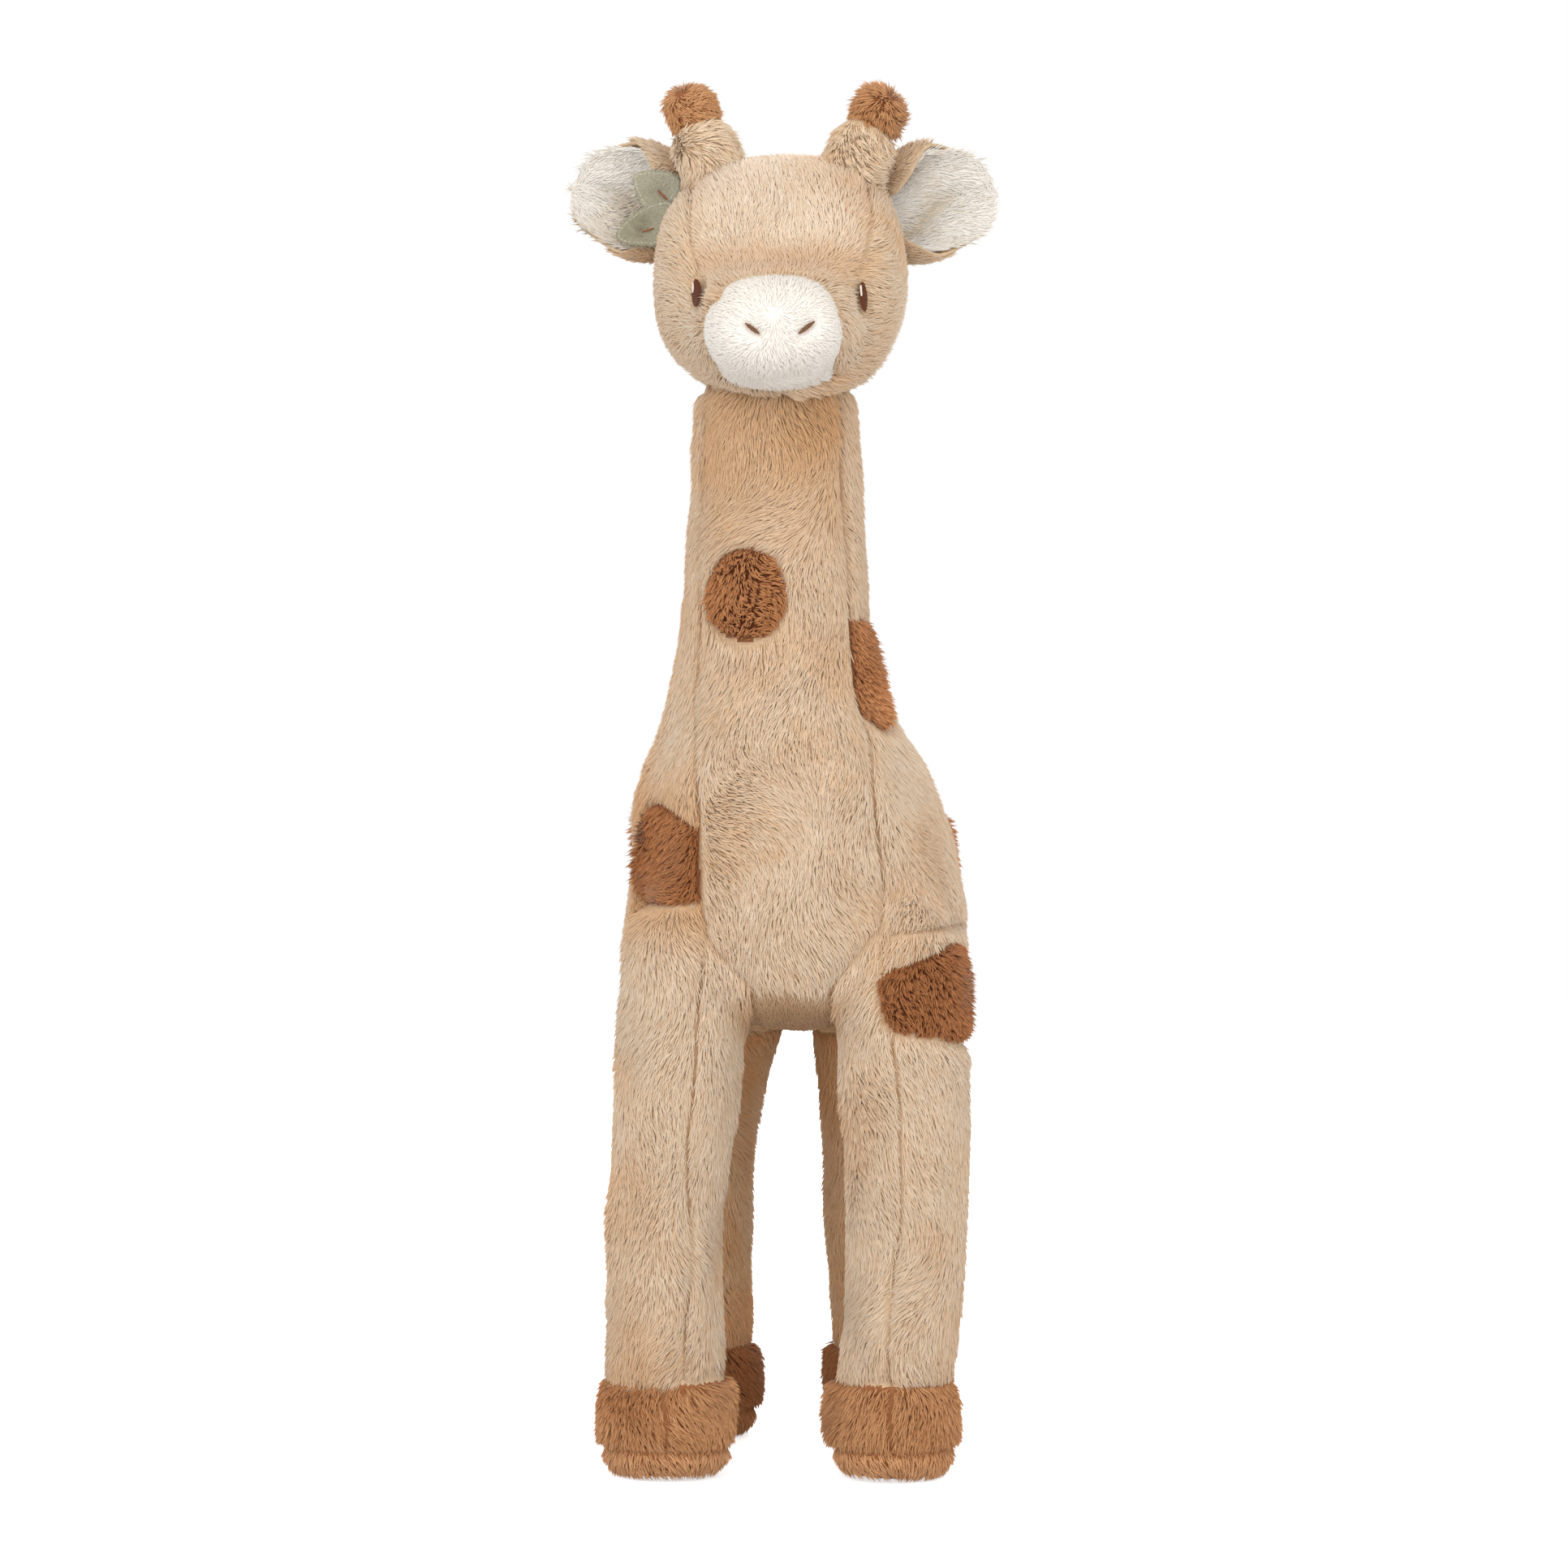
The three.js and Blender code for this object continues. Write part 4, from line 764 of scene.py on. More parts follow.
def grownPile(name, roots, outs, ways, seamGap, seamAway, fade, look, seed):
    # A piece of pile: a tuft at each root, leaning the way that the nap runs
    random = np.random.default_rng(seed)
    count = len(roots)
    outs, ways = unit(outs), laidFlat(ways, outs)
    ruffled = np.clip(rippled(roots, 15, 51) - 0.4, 0, 1) * look["ruffle"]
    turn = rippled(roots, look["swirlSize"], 21) * look["swirl"] + random.normal(0, look["stray"], count)
    turn = np.radians(turn + ruffled * 50)[:, None]
    ways = ways * np.cos(turn) + np.cross(outs, ways) * np.sin(turn)
    parting = near(seamGap, look["partWidth"])[:, None]
    ways = laidFlat(ways + laidFlat(seamAway, outs) * look["push"] * parting, outs)
    sideways = np.cross(outs, ways)
    length = look["length"] * mm * random.uniform(0.75, 1.2, (count, 1)) * (1 - 0.3 * parting)
    towards = np.maximum(-(ways * seamAway).sum(1, keepdims=True), 0.05)
    reach = (seamGap[:, None] + random.uniform(0.3, 1.5, (count, 1)) * mm) / towards
    length = np.minimum(length, np.maximum(reach, length * 0.35))
    lift = look["lift"] * (1 + 0.2 * rippled(roots, 6, 31)[:, None]) * random.uniform(0.8, 1.2, (count, 1))
    lift = lift * (1 + ruffled[:, None] * 0.6) * (1 - 0.45 * parting)
    start = roots - outs * 0.5 * mm
    middle = roots + length * (outs * lift * 0.9 + ways * 0.3)
    tip = roots + length * (outs * lift + ways * (1 - 0.35 * lift))
    pull = clumpCentres(roots, look["clump"] * mm) - roots
    pull -= (pull * outs).sum(1, keepdims=True) * outs
    gather = np.minimum(look["gather"] * (1 + ruffled[:, None]), 0.95)
    tip = tip + pull * gather
    middle = middle + pull * gather * 0.4
    width = look["width"] * mm * random.uniform(0.7, 1.3, (count, 1)) / 2
    points = np.empty((count, len(strand), 3))
    normals = np.empty((count, len(strand), 3))
    for index, (across, rise, along) in enumerate(strand):
        centre = start * (1 - along) ** 2 + middle * 2 * along * (1 - along) + tip * along**2
        points[:, index] = centre + (sideways * across + outs * rise * 0.6) * width
        aside = outs + sideways * across * 0.7
        normals[:, index] = unit(aside + ways * (0.1 + 0.2 * along) + outs * rise * 0.2)
    points[:, :, 2] = np.maximum(points[:, :, 2], 0.2 * mm)  # above the floor
    mesh = bpy.data.meshes.new(name)
    faces = (strandFaces[None] + np.arange(count)[:, None, None] * len(strand)).reshape(-1, 3)
    mesh.vertices.add(count * len(strand))
    mesh.vertices.foreach_set("co", points.astype(np.float32).ravel())
    mesh.loops.add(faces.size)
    mesh.loops.foreach_set("vertex_index", faces.astype(np.int32).ravel())
    mesh.polygons.add(len(faces))
    mesh.polygons.foreach_set("loop_start", np.arange(0, faces.size, 3, dtype=np.int32))
    mesh.polygons.foreach_set("use_smooth", np.ones(len(faces), bool))
    mesh.update(calc_edges=True)
    marked(mesh, "along", np.tile(strand[:, 2], count))
    marked(mesh, "tint", np.repeat(random.uniform(size=count), len(strand)))
    # The deeper tone of each tuft: painted shade from the field, with a deeper tone at partings and in
    # ruffled patches
    deepToneAndShade = np.clip(parting[:, 0] * 0.15 + ruffled * look["dull"] + fade, 0, 1)
    marked(mesh, "fade", np.repeat(deepToneAndShade, len(strand)))
    columns = max(1, math.ceil(math.sqrt(count * 3)))  # each tuft has a cell of its own in the map
    rows = math.ceil(count / columns)
    cell = np.stack([np.arange(count) % columns, np.arange(count) // columns], 1)
    within = np.stack([0.5 + strand[:, 0] * 0.5, 0.06 + strand[:, 2] * 0.88], 1)
    map2d = (cell[:, None] + within[None]) / np.array([columns, rows])
    corners = map2d.reshape(-1, 2)[faces.ravel()]
    mesh.uv_layers.new(name="OFBake").data.foreach_set("uv", corners.astype(np.float32).ravel())
    flanks = unit(outs[:, None] * 0.3 + sideways[:, None] * flank[:, None] * 0.9)
    cornerNormals = np.where(flank[:, None, None] != 0, flanks[:, :, None], normals[:, strandFaces])
    mesh.normals_split_custom_set(cornerNormals.reshape(-1, 3).astype(np.float32))
    return linked(name, mesh)


# How each kind of pile grows, where it differs from the usual. Lengths, widths and sizes are in
# mm, swirl and stray in degrees, and density in tufts to a square mm.

usualPile = {"width": 0.5, "swirl": 30, "swirlSize": 8, "stray": 12, "partWidth": 1.0, "clump": 2.6,
             "push": 0.5, "ruffle": 0.85, "dull": 0.35}
pile = {name: {**usualPile, **own} for name, own in {
    "plain": {"length": 7.4, "width": 0.56, "lift": 0.25, "swirlSize": 16, "stray": 10, "gather": 0.3,
              "density": 1.6},
    "belly": {"length": 3.6, "width": 0.42, "lift": 0.3, "swirl": 16, "swirlSize": 16, "stray": 16,
              "partWidth": 0.8, "clump": 2.2, "gather": 0.1, "density": 1.9, "dull": 0.2},
    "brow": {"length": 6, "lift": 0.28, "swirl": 22, "swirlSize": 10, "clump": 2.8, "gather": 0.25,
             "density": 1.9, "dull": 0.3},
    "spot": {"length": 4.8, "lift": 0.68, "swirl": 46, "stray": 16, "partWidth": 0.9, "clump": 2.3,
             "gather": 0.92, "density": 1.9, "ruffle": 1.0},
    "hoof": {"length": 6.4, "lift": 0.38, "swirl": 34, "swirlSize": 10, "partWidth": 1.2, "gather": 0.6,
             "density": 1.7, "push": 0.8, "ruffle": 0.4},
    "sole": {"length": 5, "lift": 0.3, "swirlSize": 10, "partWidth": 1.2, "gather": 0.45,
             "density": 1.7, "push": 0.6, "ruffle": 0.3},
    "sleeve": {"length": 6.6, "width": 0.48, "lift": 0.26, "swirl": 38, "swirlSize": 7, "clump": 3,
               "gather": 0.5, "density": 1.8, "dull": 0.1},
    "tip": {"length": 5, "lift": 0.36, "swirl": 26, "swirlSize": 6, "stray": 18, "partWidth": 0.8,
            "clump": 2.8, "gather": 0.7, "density": 3, "dull": 0.2},
    "tuft": {"length": 7, "width": 0.6, "lift": 0.26, "swirl": 20, "partWidth": 0.8, "clump": 3,
             "gather": 0.5, "density": 1.6},
    "lining": {"length": 5, "width": 0.46, "lift": 0.22, "swirl": 24, "swirlSize": 10, "clump": 3,
               "gather": 0.25, "density": 2.2, "dull": 0.2},
    "ear": {"length": 4.6, "width": 0.46, "lift": 0.22, "stray": 14, "gather": 0.45, "density": 2.0},
    "nose": {"length": 4.4, "width": 0.46, "lift": 0.2, "swirl": 34, "stray": 18, "partWidth": 0.8,
             "clump": 2.4, "gather": 0.12, "density": 2.8, "dull": 0.2},
    "felt": {"length": 1.6, "width": 0.3, "lift": 0.25, "swirl": 180, "swirlSize": 2, "stray": 90,
             "partWidth": 0.5, "clump": 1.5, "gather": 0.2, "density": 5},
}.items()}


# Screen colours of the pile at its root, deeper partly as painted shade between the fibres, and at its tip;
# of its deeper tone, which brushed patches and random tufts take and painted shade uses; and of the cloth
# under it

def pileFinish(name, root, tip, deep):
    # Deeper at the root, partly as painted shade between the fibres, paler at the tip, with brushed patches
    # of a deeper tone and painted shade where the pile is marked for it
    shade = Shade(f"{name}_pile")
    along = shade.attribute("along") ** 0.7
    patches = {"Value": shade.noise(26, 3), "From Min": 0.5, "From Max": 0.75}
    patches = shade.node("ShaderNodeMapRange", {}, patches)
    colour = shade.mix(along, root, tip)
    deepToneAndShade = shade.mix(along, dimmed(deep, 0.74), dimmed(deep, 1.1))
    colour = shade.mix(patches * 0.45 + shade.attribute("tint") ** 2 * 0.55, colour, deepToneAndShade)
    colour = shade.mix(shade.attribute("fade"), colour, deepToneAndShade)
    return shade.surface({
        "Base Color": colour, "Roughness": 0.85, "Specular IOR Level": 0.15, "Sheen Weight": 0.12,
    })


def clothFinish(name, root, cloth):
    # The knitted cloth under the pile, darker along its seams: partly the seam's own line, partly painted
    # shade in its groove
    shade = Shade(f"{name}_cloth")
    fine = shade.noise(900, 2)
    sewn = shade.attribute("sewn") * (0.4 + shade.noise(240, 1) * 0.7)
    tone = shade.mix(sewn, shade.mix(fine, cloth, root), linear(132, 90, 56))
    bump = shade.node("ShaderNodeBump", {}, {"Strength": 0.6, "Distance": 0.0006, "Height": fine})
    return shade.surface({"Base Color": tone, "Roughness": 0.95, "Normal": bump})


colours = {
    "tan": ((178, 148, 115), (212, 196, 175), (192, 152, 111), (197, 174, 145)),
    "cheek": ((184, 154, 119), (220, 204, 181), (200, 157, 113), (200, 177, 147)),
    # the rear legs' tan is a copy made darker and warmer: painted shade, as they stand in shadow
    "rear": ((178, 142, 102), (211, 188, 158), (201, 146, 94), (196, 170, 138)),
    # the belly's tan has a darker deep tone: painted shade under the body
    "under": ((176, 146, 114), (210, 191, 167), (180, 141, 100), (196, 172, 143)),
    "pale": ((201, 176, 147), (228, 214, 195), (205, 166, 125), (213, 193, 166)),
    "brown": ((94, 47, 19), (213, 152, 102), (133, 77, 38), (98, 50, 21)),
    "hoof": ((130, 79, 42), (205, 156, 111), (148, 93, 52), (144, 89, 50)),
    # the sole is the hoof's brown made lighter: painted light from below
    "sole": ((144, 91, 50), (222, 173, 127), (160, 104, 60), (150, 95, 54)),
    "tip": ((126, 73, 37), (206, 158, 112), (149, 92, 50), (138, 82, 42)),
    "white": ((219, 213, 205), (234, 229, 222), (221, 214, 204), (226, 220, 212)),
    # the lining's deep tone is the painted shade in the ear's fold
    "lining": ((206, 201, 194), (224, 220, 214), (196, 180, 156), (217, 212, 204)),
    "green": ((138, 135, 115), (188, 185, 166), (150, 139, 114), (160, 157, 138)),
}
finishes, backings = {}, {}
for name, parts in colours.items():
    root, tip, deep, cloth = (linear(*colour) for colour in parts)
    finishes[name] = pileFinish(name, root, tip, deep)
    backings[name] = clothFinish(name, root, cloth)


def dress(piece, material, slot, nodes, bodies, start=None, end=None):
    # Gives a piece its finish and hides the nodes that it stands for; a piece of one body is attached to it,
    # one of two is only fixed where it is
    if not piece.data.materials:
        piece.data.materials.append(material)
    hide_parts(*nodes)
    if len(bodies) == 2:
        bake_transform(piece)
    else:
        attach(piece, bodies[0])


def dressFilling(piece, slot, nodes, span):
    dress(piece, backings["tan"], slot, nodes, **span)


def furred(name, field, where, look, seed, colour, slot, nodes, span):
    # Grows one piece's pile over its share of a field: roots, outs, ways, seam gaps and ways, and painted
    # shade
    fur = grownPile(name, *(part[where] for part in field), pile[look], seed)
    dress(fur, finishes[colour], slot, nodes, **span)


def backed(piece, names, choice, gap, strength=1.0):
    # Gives each face the cloth of its panel, and marks the seams by how far each point is from them, for the
    # cloth's darker seam line and painted groove shade
    for name in names:
        piece.data.materials.append(backings[name])
    piece.data.polygons.foreach_set("material_index", choice.astype(np.int32))
    marked(piece.data, "sewn", strength * near(gap, 1.1))


def bending(joint, follower, cut, follow):
    # The torso and a joint's body, with the joint's place at the height where a piece leaves the torso and at
    # a second height
    x, y, _ = pivots[joint]
    return {"bodies": ("torso", follower), "start": (x, y, cut * mm), "end": (x, y, follow * mm)}


spans = {
    "torso": {"bodies": ["torso"]},
    "head": {"bodies": ["head"]},
    "neck": bending("neck_bend", "neck", body["neckCut"], body["neckFollow"]),
}
for leg in [f"{name}_leg" for name in legNames]:
    spans[leg] = bending(f"{leg}_swing", leg, body["legCut"], body["legFollow"])


def cutBody(form):
    # The form as its joints' pieces
    brown = readBody(facePlaces(form))[0] >= firstSpot
    backed(form, ["tan", "brown"], brown, readBody(placesOf(form))[1].gap)
    low, high = (0, 0, body["legCut"]), (0, 0, body["neckCut"])
    up, down = (0, 0, 1), (0, 0, -1)
    cuts = {"body": [(low, down), (high, up)], "neck": [(high, down)]}
    for name in legNames:
        x = -1 if name.endswith("left") else 1
        y = 1 if name.startswith("front") else -1
        cuts[f"{name}_leg"] = [(low, up), ((0, 0, 0), (x, 0, 0)), ((0, legMiddle / mm, 0), (0, y, 0))]
    for name, planes in cuts.items():
        piece = slicedTo(form, f"{name}_stuffing", planes)
        span = spans["torso" if name == "body" else name]
        dressFilling(piece, "tan_plush", [f"{name}_filling"], span)
    say("body cut")


# Painted shade on the body's pile: under the head, over the neck, on the belly and the sides where they face
# the floor, on the right shoulder, the rear legs and two spots. How much at most, and between which heights,
# depths in mm or slopes it comes in, where a slope of 1 faces the floor
shades = {
    "throat": {"most": 0.55, "height": (330, 420)},
    "neck": {"most": 0.2},
    "belly": {"least": 0.1, "slope": (1 / 3, 8 / 9)},
    "sides": {"most": 0.85, "slope": (0.2, 13 / 15), "below": 200},
    "shoulder": {"most": 0.7, "top": (268.8, 244.8), "foot": (188.8, 204.8), "depth": (0, -20)},
    "rearLegs": {"most": 0.85, "depth": (70, 10), "below": 185},
    "spots": {"front_left_leg_spot": 0.55, "body_right_shoulder_spot": 0.4},
}
nap = {
    "body": (0, 0.12, -1), "spot": (0.9, 0, -0.55),  # of the one on the throat
    "throatTurn": 0.7, "throat": (325, 350),
}


def bodyPaintedShade(roots, outs, panel):
    # How much painted shade each root of the body's pile gets
    _, y, z = roots.T / mm
    slope = -outs[:, 2]
    throat, sides, shoulder, legs = (shades[key] for key in ("throat", "sides", "shoulder", "rearLegs"))
    fade = np.minimum(ramp(z, *throat["height"]), throat["most"]) * (panel == 0)
    fade += shades["neck"]["most"] * (z > body["neckCut"])
    fade += np.maximum(ramp(slope, *shades["belly"]["slope"]), shades["belly"]["least"]) * (panel == 3)
    under = np.minimum(ramp(slope, *sides["slope"]), sides["most"])
    fade += under * ((panel == 1) | (panel == 2)) * (z < sides["below"])
    for name, share in shades["spots"].items():
        fade += share * (panel == firstSpot + list(spots).index(name))
    onShoulder = ramp(z, *shoulder["top"]) * ramp(z, *shoulder["foot"]) * ramp(y, *shoulder["depth"])
    fade += shoulder["most"] * (panel == 2) * onShoulder
    return fade + legs["most"] * (legOf(roots) >= 2) * (z < legs["below"]) * ramp(y, *legs["depth"])


def dressBody(form):
    cutBody(form)
    roots, outs = scattered(form, "belly", 101)
    panel, seams = readBody(roots)
    ways = np.tile(np.array(nap["body"]), (len(roots), 1))
    z = roots[:, 2]
    ways[:, 0] -= nap["throatTurn"] * ramp(z / mm, *nap["throat"]) * (panel == 0)
    ways[panel == firstSpot] = np.array(nap["spot"])
    leg = legOf(roots)
    onNeck = z > body["neckCut"] * mm
    onLeg = z < body["legCut"] * mm
    chance = chances(len(roots), 7, "belly")
    pieces = []
    for name, number in {
        "chest_panel": 0, "belly_panel": 3, "body_left_panel": 1, "body_right_panel": 2,
        "neck_throat_panel": 0, "neck_left_panel": 1, "neck_right_panel": 2,
    }.items():
        span = "neck" if "neck" in name else "torso"
        where = (panel == number) & (onNeck if span == "neck" else ~onNeck & ~onLeg)
        colour, look = ("under", "belly") if name == "belly_panel" else ("tan", "plain")
        pieces.append((name, where, colour, look, span))
    for index, name in enumerate(legNames):
        where = onLeg & (leg == index) & (panel < firstSpot)
        colour = "rear" if name.startswith("rear") else "tan"
        pieces.append((f"{name}_leg_cover", where, colour, "plain", f"{name}_leg"))
    for index, name in enumerate(spots):
        span = "neck" if "neck" in name else "torso"
        if "_leg_" in name:
            span = name[: -len("_spot")]
        pieces.append((name, panel == firstSpot + index, "brown", "spot", span))
    field = (roots, outs, ways, seams.gap, seams.away, bodyPaintedShade(roots, outs, panel))
    shown = (z <= body["headTop"] * mm) & (z >= body["hoofTop"] * mm)
    for index, (name, where, colour, look, span) in enumerate(pieces):
        where = where & shown & (chance < pile[look]["density"])
        slot = "brown_plush" if colour == "brown" else "tan_plush"
        furred(f"{name}_pile", field, where, look, 200 + index, colour, slot, [name], spans[span])
        say(name, int(where.sum()))
    bpy.data.objects.remove(form)


def dressHead(form):
    own = linked("head_stuffing", form.data.copy())
    choice = np.minimum(readHead(facePlaces(form))[0], 2)
    backed(own, ["white", "pale", "tan"], choice, readHead(placesOf(form))[1].gap, 0.4)
    dressFilling(own, "tan_plush", ["head_filling"], spans["head"])
    roots, outs = scattered(form, "nose", 301)
    panel, seams = readHead(roots)
    chance = chances(len(roots), 5, "nose")
    x, y, z = roots.T / mm
    bare = np.zeros(len(roots), bool)
    for patch in bareEyes + bareNostrils:
        bare |= (patch.read(roots)[0] < 0) & (y < head["faceFront"])
    fromNose = roots - np.array(head["whorl"]) * mm
    ways = unit(fromNose) + np.array([0, 0.6, 0])
    ways[panel == 0] = unit(fromNose[panel == 0] + np.array([0, 0, -6]) * mm)
    behind = ramp(y, *head["backNap"])[:, None]
    ways = ways * (1 - behind) + np.array([0, 0.3, -1.0]) * behind
    brow, nose = head["brow"], head["noseShade"]
    # Painted shade in the brow's fold on the forehead and cheeks, and on the top of the white nose; the
    # forehead is also darker along its rim
    fold = np.exp(-(((z - brow["height"]) / brow["wide"]) ** 2)) * ramp(np.abs(x), *brow["x"])
    edge = ramp(browOutline.read(roots)[0] / mm, *brow["rim"])
    noseShade = np.minimum(ramp(z, *nose["height"]), nose["most"])
    for index, (name, colour, look, slot, fade) in enumerate([
        ("muzzle", "white", "nose", "white_plush", noseShade),
        ("forehead_gusset", "pale", "brow", "pale_plush", np.maximum(fold * 0.6, edge * 0.35)),
        ("head_left_panel", "cheek", "plain", "tan_plush", fold * 0.3),
        ("head_right_panel", "cheek", "plain", "tan_plush", fold * 0.3),
    ]):
        field = (roots, outs, ways, seams.gap, seams.away, fade)
        where = (panel == index) & ~bare & (chance < pile[look]["density"])
        furred(f"{name}_pile", field, where, look, 320 + index, colour, slot, [name], spans["head"])
    bpy.data.objects.remove(form)
    say("head pile")


# Feet, modelled once: the hoof above the sole's seam, the sole below it

foot = {
    "rings": [(0.6, 0, 0, 11, 11.5), (1.2, 0, 0, 15.5, 16.3), (3, 0, 0, 17.8, 18.7), (6.5, 0, 0, 20.2, 21.2),
              (10, 0, 0, 21.4, 22.4), (12, 0, 0, 21.4, 22.4), (14, 0, 0, 22, 23), (20, 0, 0, 22.4, 23.4),
              (28, 0, 0, 22, 23), (34, 0, 0, 20.8, 21.8), (38, 0, 0, 18, 19), (40, 0, 0, 12, 13)],
    "voxel": 2.4, "smooth": 3, "lumps": (0.35, 7, 9),
    "seam": 12, "crease": 0.9,
    "top": 35.2,  # above it the cloth is the leg's
    "places": {"front_left": 40.6, "front_right": -40.8, "rear_left": 37.6, "rear_right": -35.4},
}


def makeFeet():
    form = lofted("foot_form", foot["rings"], 40)
    fused(form, foot)
    lumpy(form, foot)
    finer(form)
    raised(form, near(placesOf(form)[:, 2] - foot["seam"] * mm, 1.6) * -foot["crease"] * mm)
    for index, (name, x) in enumerate(foot["places"].items()):
        middle = np.array([x * mm, legPivots[name][1], 0])
        span = {"bodies": [f"{name}_leg"]}
        own = linked(f"{name}_foot_stuffing", form.data.copy())
        own.data.transform(Matrix.Rotation(index * 1.3, 4, "Z"))
        own.data.transform(Matrix.Translation(middle))
        corners = placesOf(own)
        gap = np.minimum(np.abs(corners[:, 2] - foot["seam"] * mm), np.abs(corners[:, 0] - middle[0]))
        backed(own, ["hoof", "tan"], facePlaces(own)[:, 2] > foot["top"] * mm, gap)
        dressFilling(own, "hoof_plush", [f"{name}_hoof", f"{name}_sole"], span)
        roots, outs = scattered(own, "hoof", 400 + index)
        off = roots - middle
        seams = SeamReading(roots)
        gap = roots[:, 2] - foot["seam"] * mm
        seams.addAcross(gap, upward, np.full(len(roots), True))
        seams.addAcross(off[:, 0], leftward, (np.abs(off[:, 1]) > 10 * mm) & (gap > 0))
        # painted shade on the rear feet, which stand in shadow
        fade = np.full(len(roots), 0.75 if name.startswith("rear") else 0.0)
        field = (roots, outs, off * np.array([1, 1, 0]) / (60 * mm) - upward, seams.gap, seams.away, fade)
        for part, where in {
            "hoof": (gap > 0) & (roots[:, 2] < foot["top"] * mm),
            "sole": (gap <= 0) & (outs[:, 2] > -0.7),
        }.items():
            node = f"{name}_{part}"
            furred(f"{node}_pile", field, where, part, 420 + index, part, "hoof_plush", [node], span)
    bpy.data.objects.remove(form)
    say("feet")


# The tail and its tuft, guessed

tail = {
    "rings": [(-69, 6.6, 2), (-66, 6.8, 4.5), (-57, 7, 5.8), (-48, 6.2, 4.2), (-30, 5, 3.8), (-10, 2.2, 4),
              (2, -1.5, 4.4), (4, -3, 2)],  # height and place behind the joint, and radius
    "voxel": 1.4, "smooth": 2,
    "seam": 46,
}


def makeTail():
    _, y, z = pivots["tail_swing"] / mm
    span = {"bodies": ["tail"]}
    rings = [(z + up, 0, y + back, radius, radius) for up, back, radius in tail["rings"]]
    form = lofted("tail_stuffing", rings, 20)
    fused(form, tail)
    dressFilling(form, "tan_plush", ["tail", "tail_tuft"], span)
    roots, outs = scattered(form, "plain", 500)
    gap = roots[:, 2] - (z - tail["seam"]) * mm
    ways = np.tile(-upward, (len(roots), 1))
    field = (roots, outs, ways, np.abs(gap), np.sign(gap)[:, None] * upward, 0 * gap)
    for part, where, look, colour, slot in (
        ("tail", gap > 0, "plain", "tan", "tan_plush"),
        ("tail_tuft", gap <= 0, "tuft", "hoof", "brown_plush"),
    ):
        furred(f"{part}_pile", field, where, look, 510, colour, slot, [part], span)
    say("tail")


# Ossicones: the sleeve's pile runs down to the head, the tip's out from a parting

ossicone = {
    "rings": [(-14, 12), (-9, 12.8), (0, 11.8), (8, 10.6), (15, 9.8), (20, 8.9), (22.6, 8), (25.5, 8.3),
              (29, 8.4), (32.6, 7.4), (35, 5.4), (36.2, 3)],  # height and radius
    "voxel": 1.8, "smooth": 3, "lumps": (0.4, 6, 13),
    "tipSeam": 22.6,
    "foot": -10,  # below it the head hides the sleeve
    "lean": {"left": 26.5, "right": 20.5},
    "rise": 1.6,
    "parting": (1, -3, 32),
}


def makeOssicones():
    form = lofted("ossicone_form", [(z, 0, 0, radius, radius) for z, radius in ossicone["rings"]], 28)
    fused(form, ossicone)
    finer(form)
    lumpy(form, ossicone)
    for index, (side, sign) in enumerate(sideSigns.items()):
        name = f"ossicone_{side}"
        span = {"bodies": [name]}
        turn = math.radians(ossicone["lean"][side]) * sign
        rise = Matrix.Translation((0, 0, ossicone["rise"] * mm))
        stand = rise @ Matrix.Translation(pivots[f"{name}_flex"]) @ Matrix.Rotation(turn, 4, "Y")
        own = linked(f"{name}_stuffing", form.data.copy())
        own.data.transform(stand)
        back, axes = np.array(stand.inverted()), np.array(stand)[:3, :3]
        high = (facePlaces(own) @ back[:3, :3].T + back[:3, 3])[:, 2] > ossicone["tipSeam"] * mm
        backed(own, ["tan", "tip"], high, np.full(len(own.data.vertices), far))
        dressFilling(own, "tan_plush", [f"{name}_filling"], span)
        roots, outs = scattered(own, "tip", 600 + index)
        chance = chances(len(roots), index, "tip")
        upright = roots @ back[:3, :3].T + back[:3, 3]
        gap = upright[:, 2] - ossicone["tipSeam"] * mm
        away = np.sign(gap)[:, None] * axes[:, 2]
        down = np.tile(-axes[:, 2], (len(roots), 1))
        parting = np.array(ossicone["parting"]) * mm * np.array([sign, 1, 1])
        parted = (upright - parting) @ axes.T
        for part, where, colour, slot, ways in (
            ("sleeve", (gap <= 0) & (upright[:, 2] > ossicone["foot"] * mm), "cheek", "tan_plush", down),
            ("tip", gap > 0, "tip", "brown_plush", parted),
        ):
            field = (roots, outs, ways, np.abs(gap), away, 0 * gap)
            where = where & (chance < pile[part]["density"])
            node = f"{name}_{part}"
            furred(f"{node}_pile", field, where, part, 620 + index, colour, slot, [node], span)
    bpy.data.objects.remove(form)
    say("ossicones")


# Ears: a cushion of back and lining, gathered at its root so that both edges curl forward

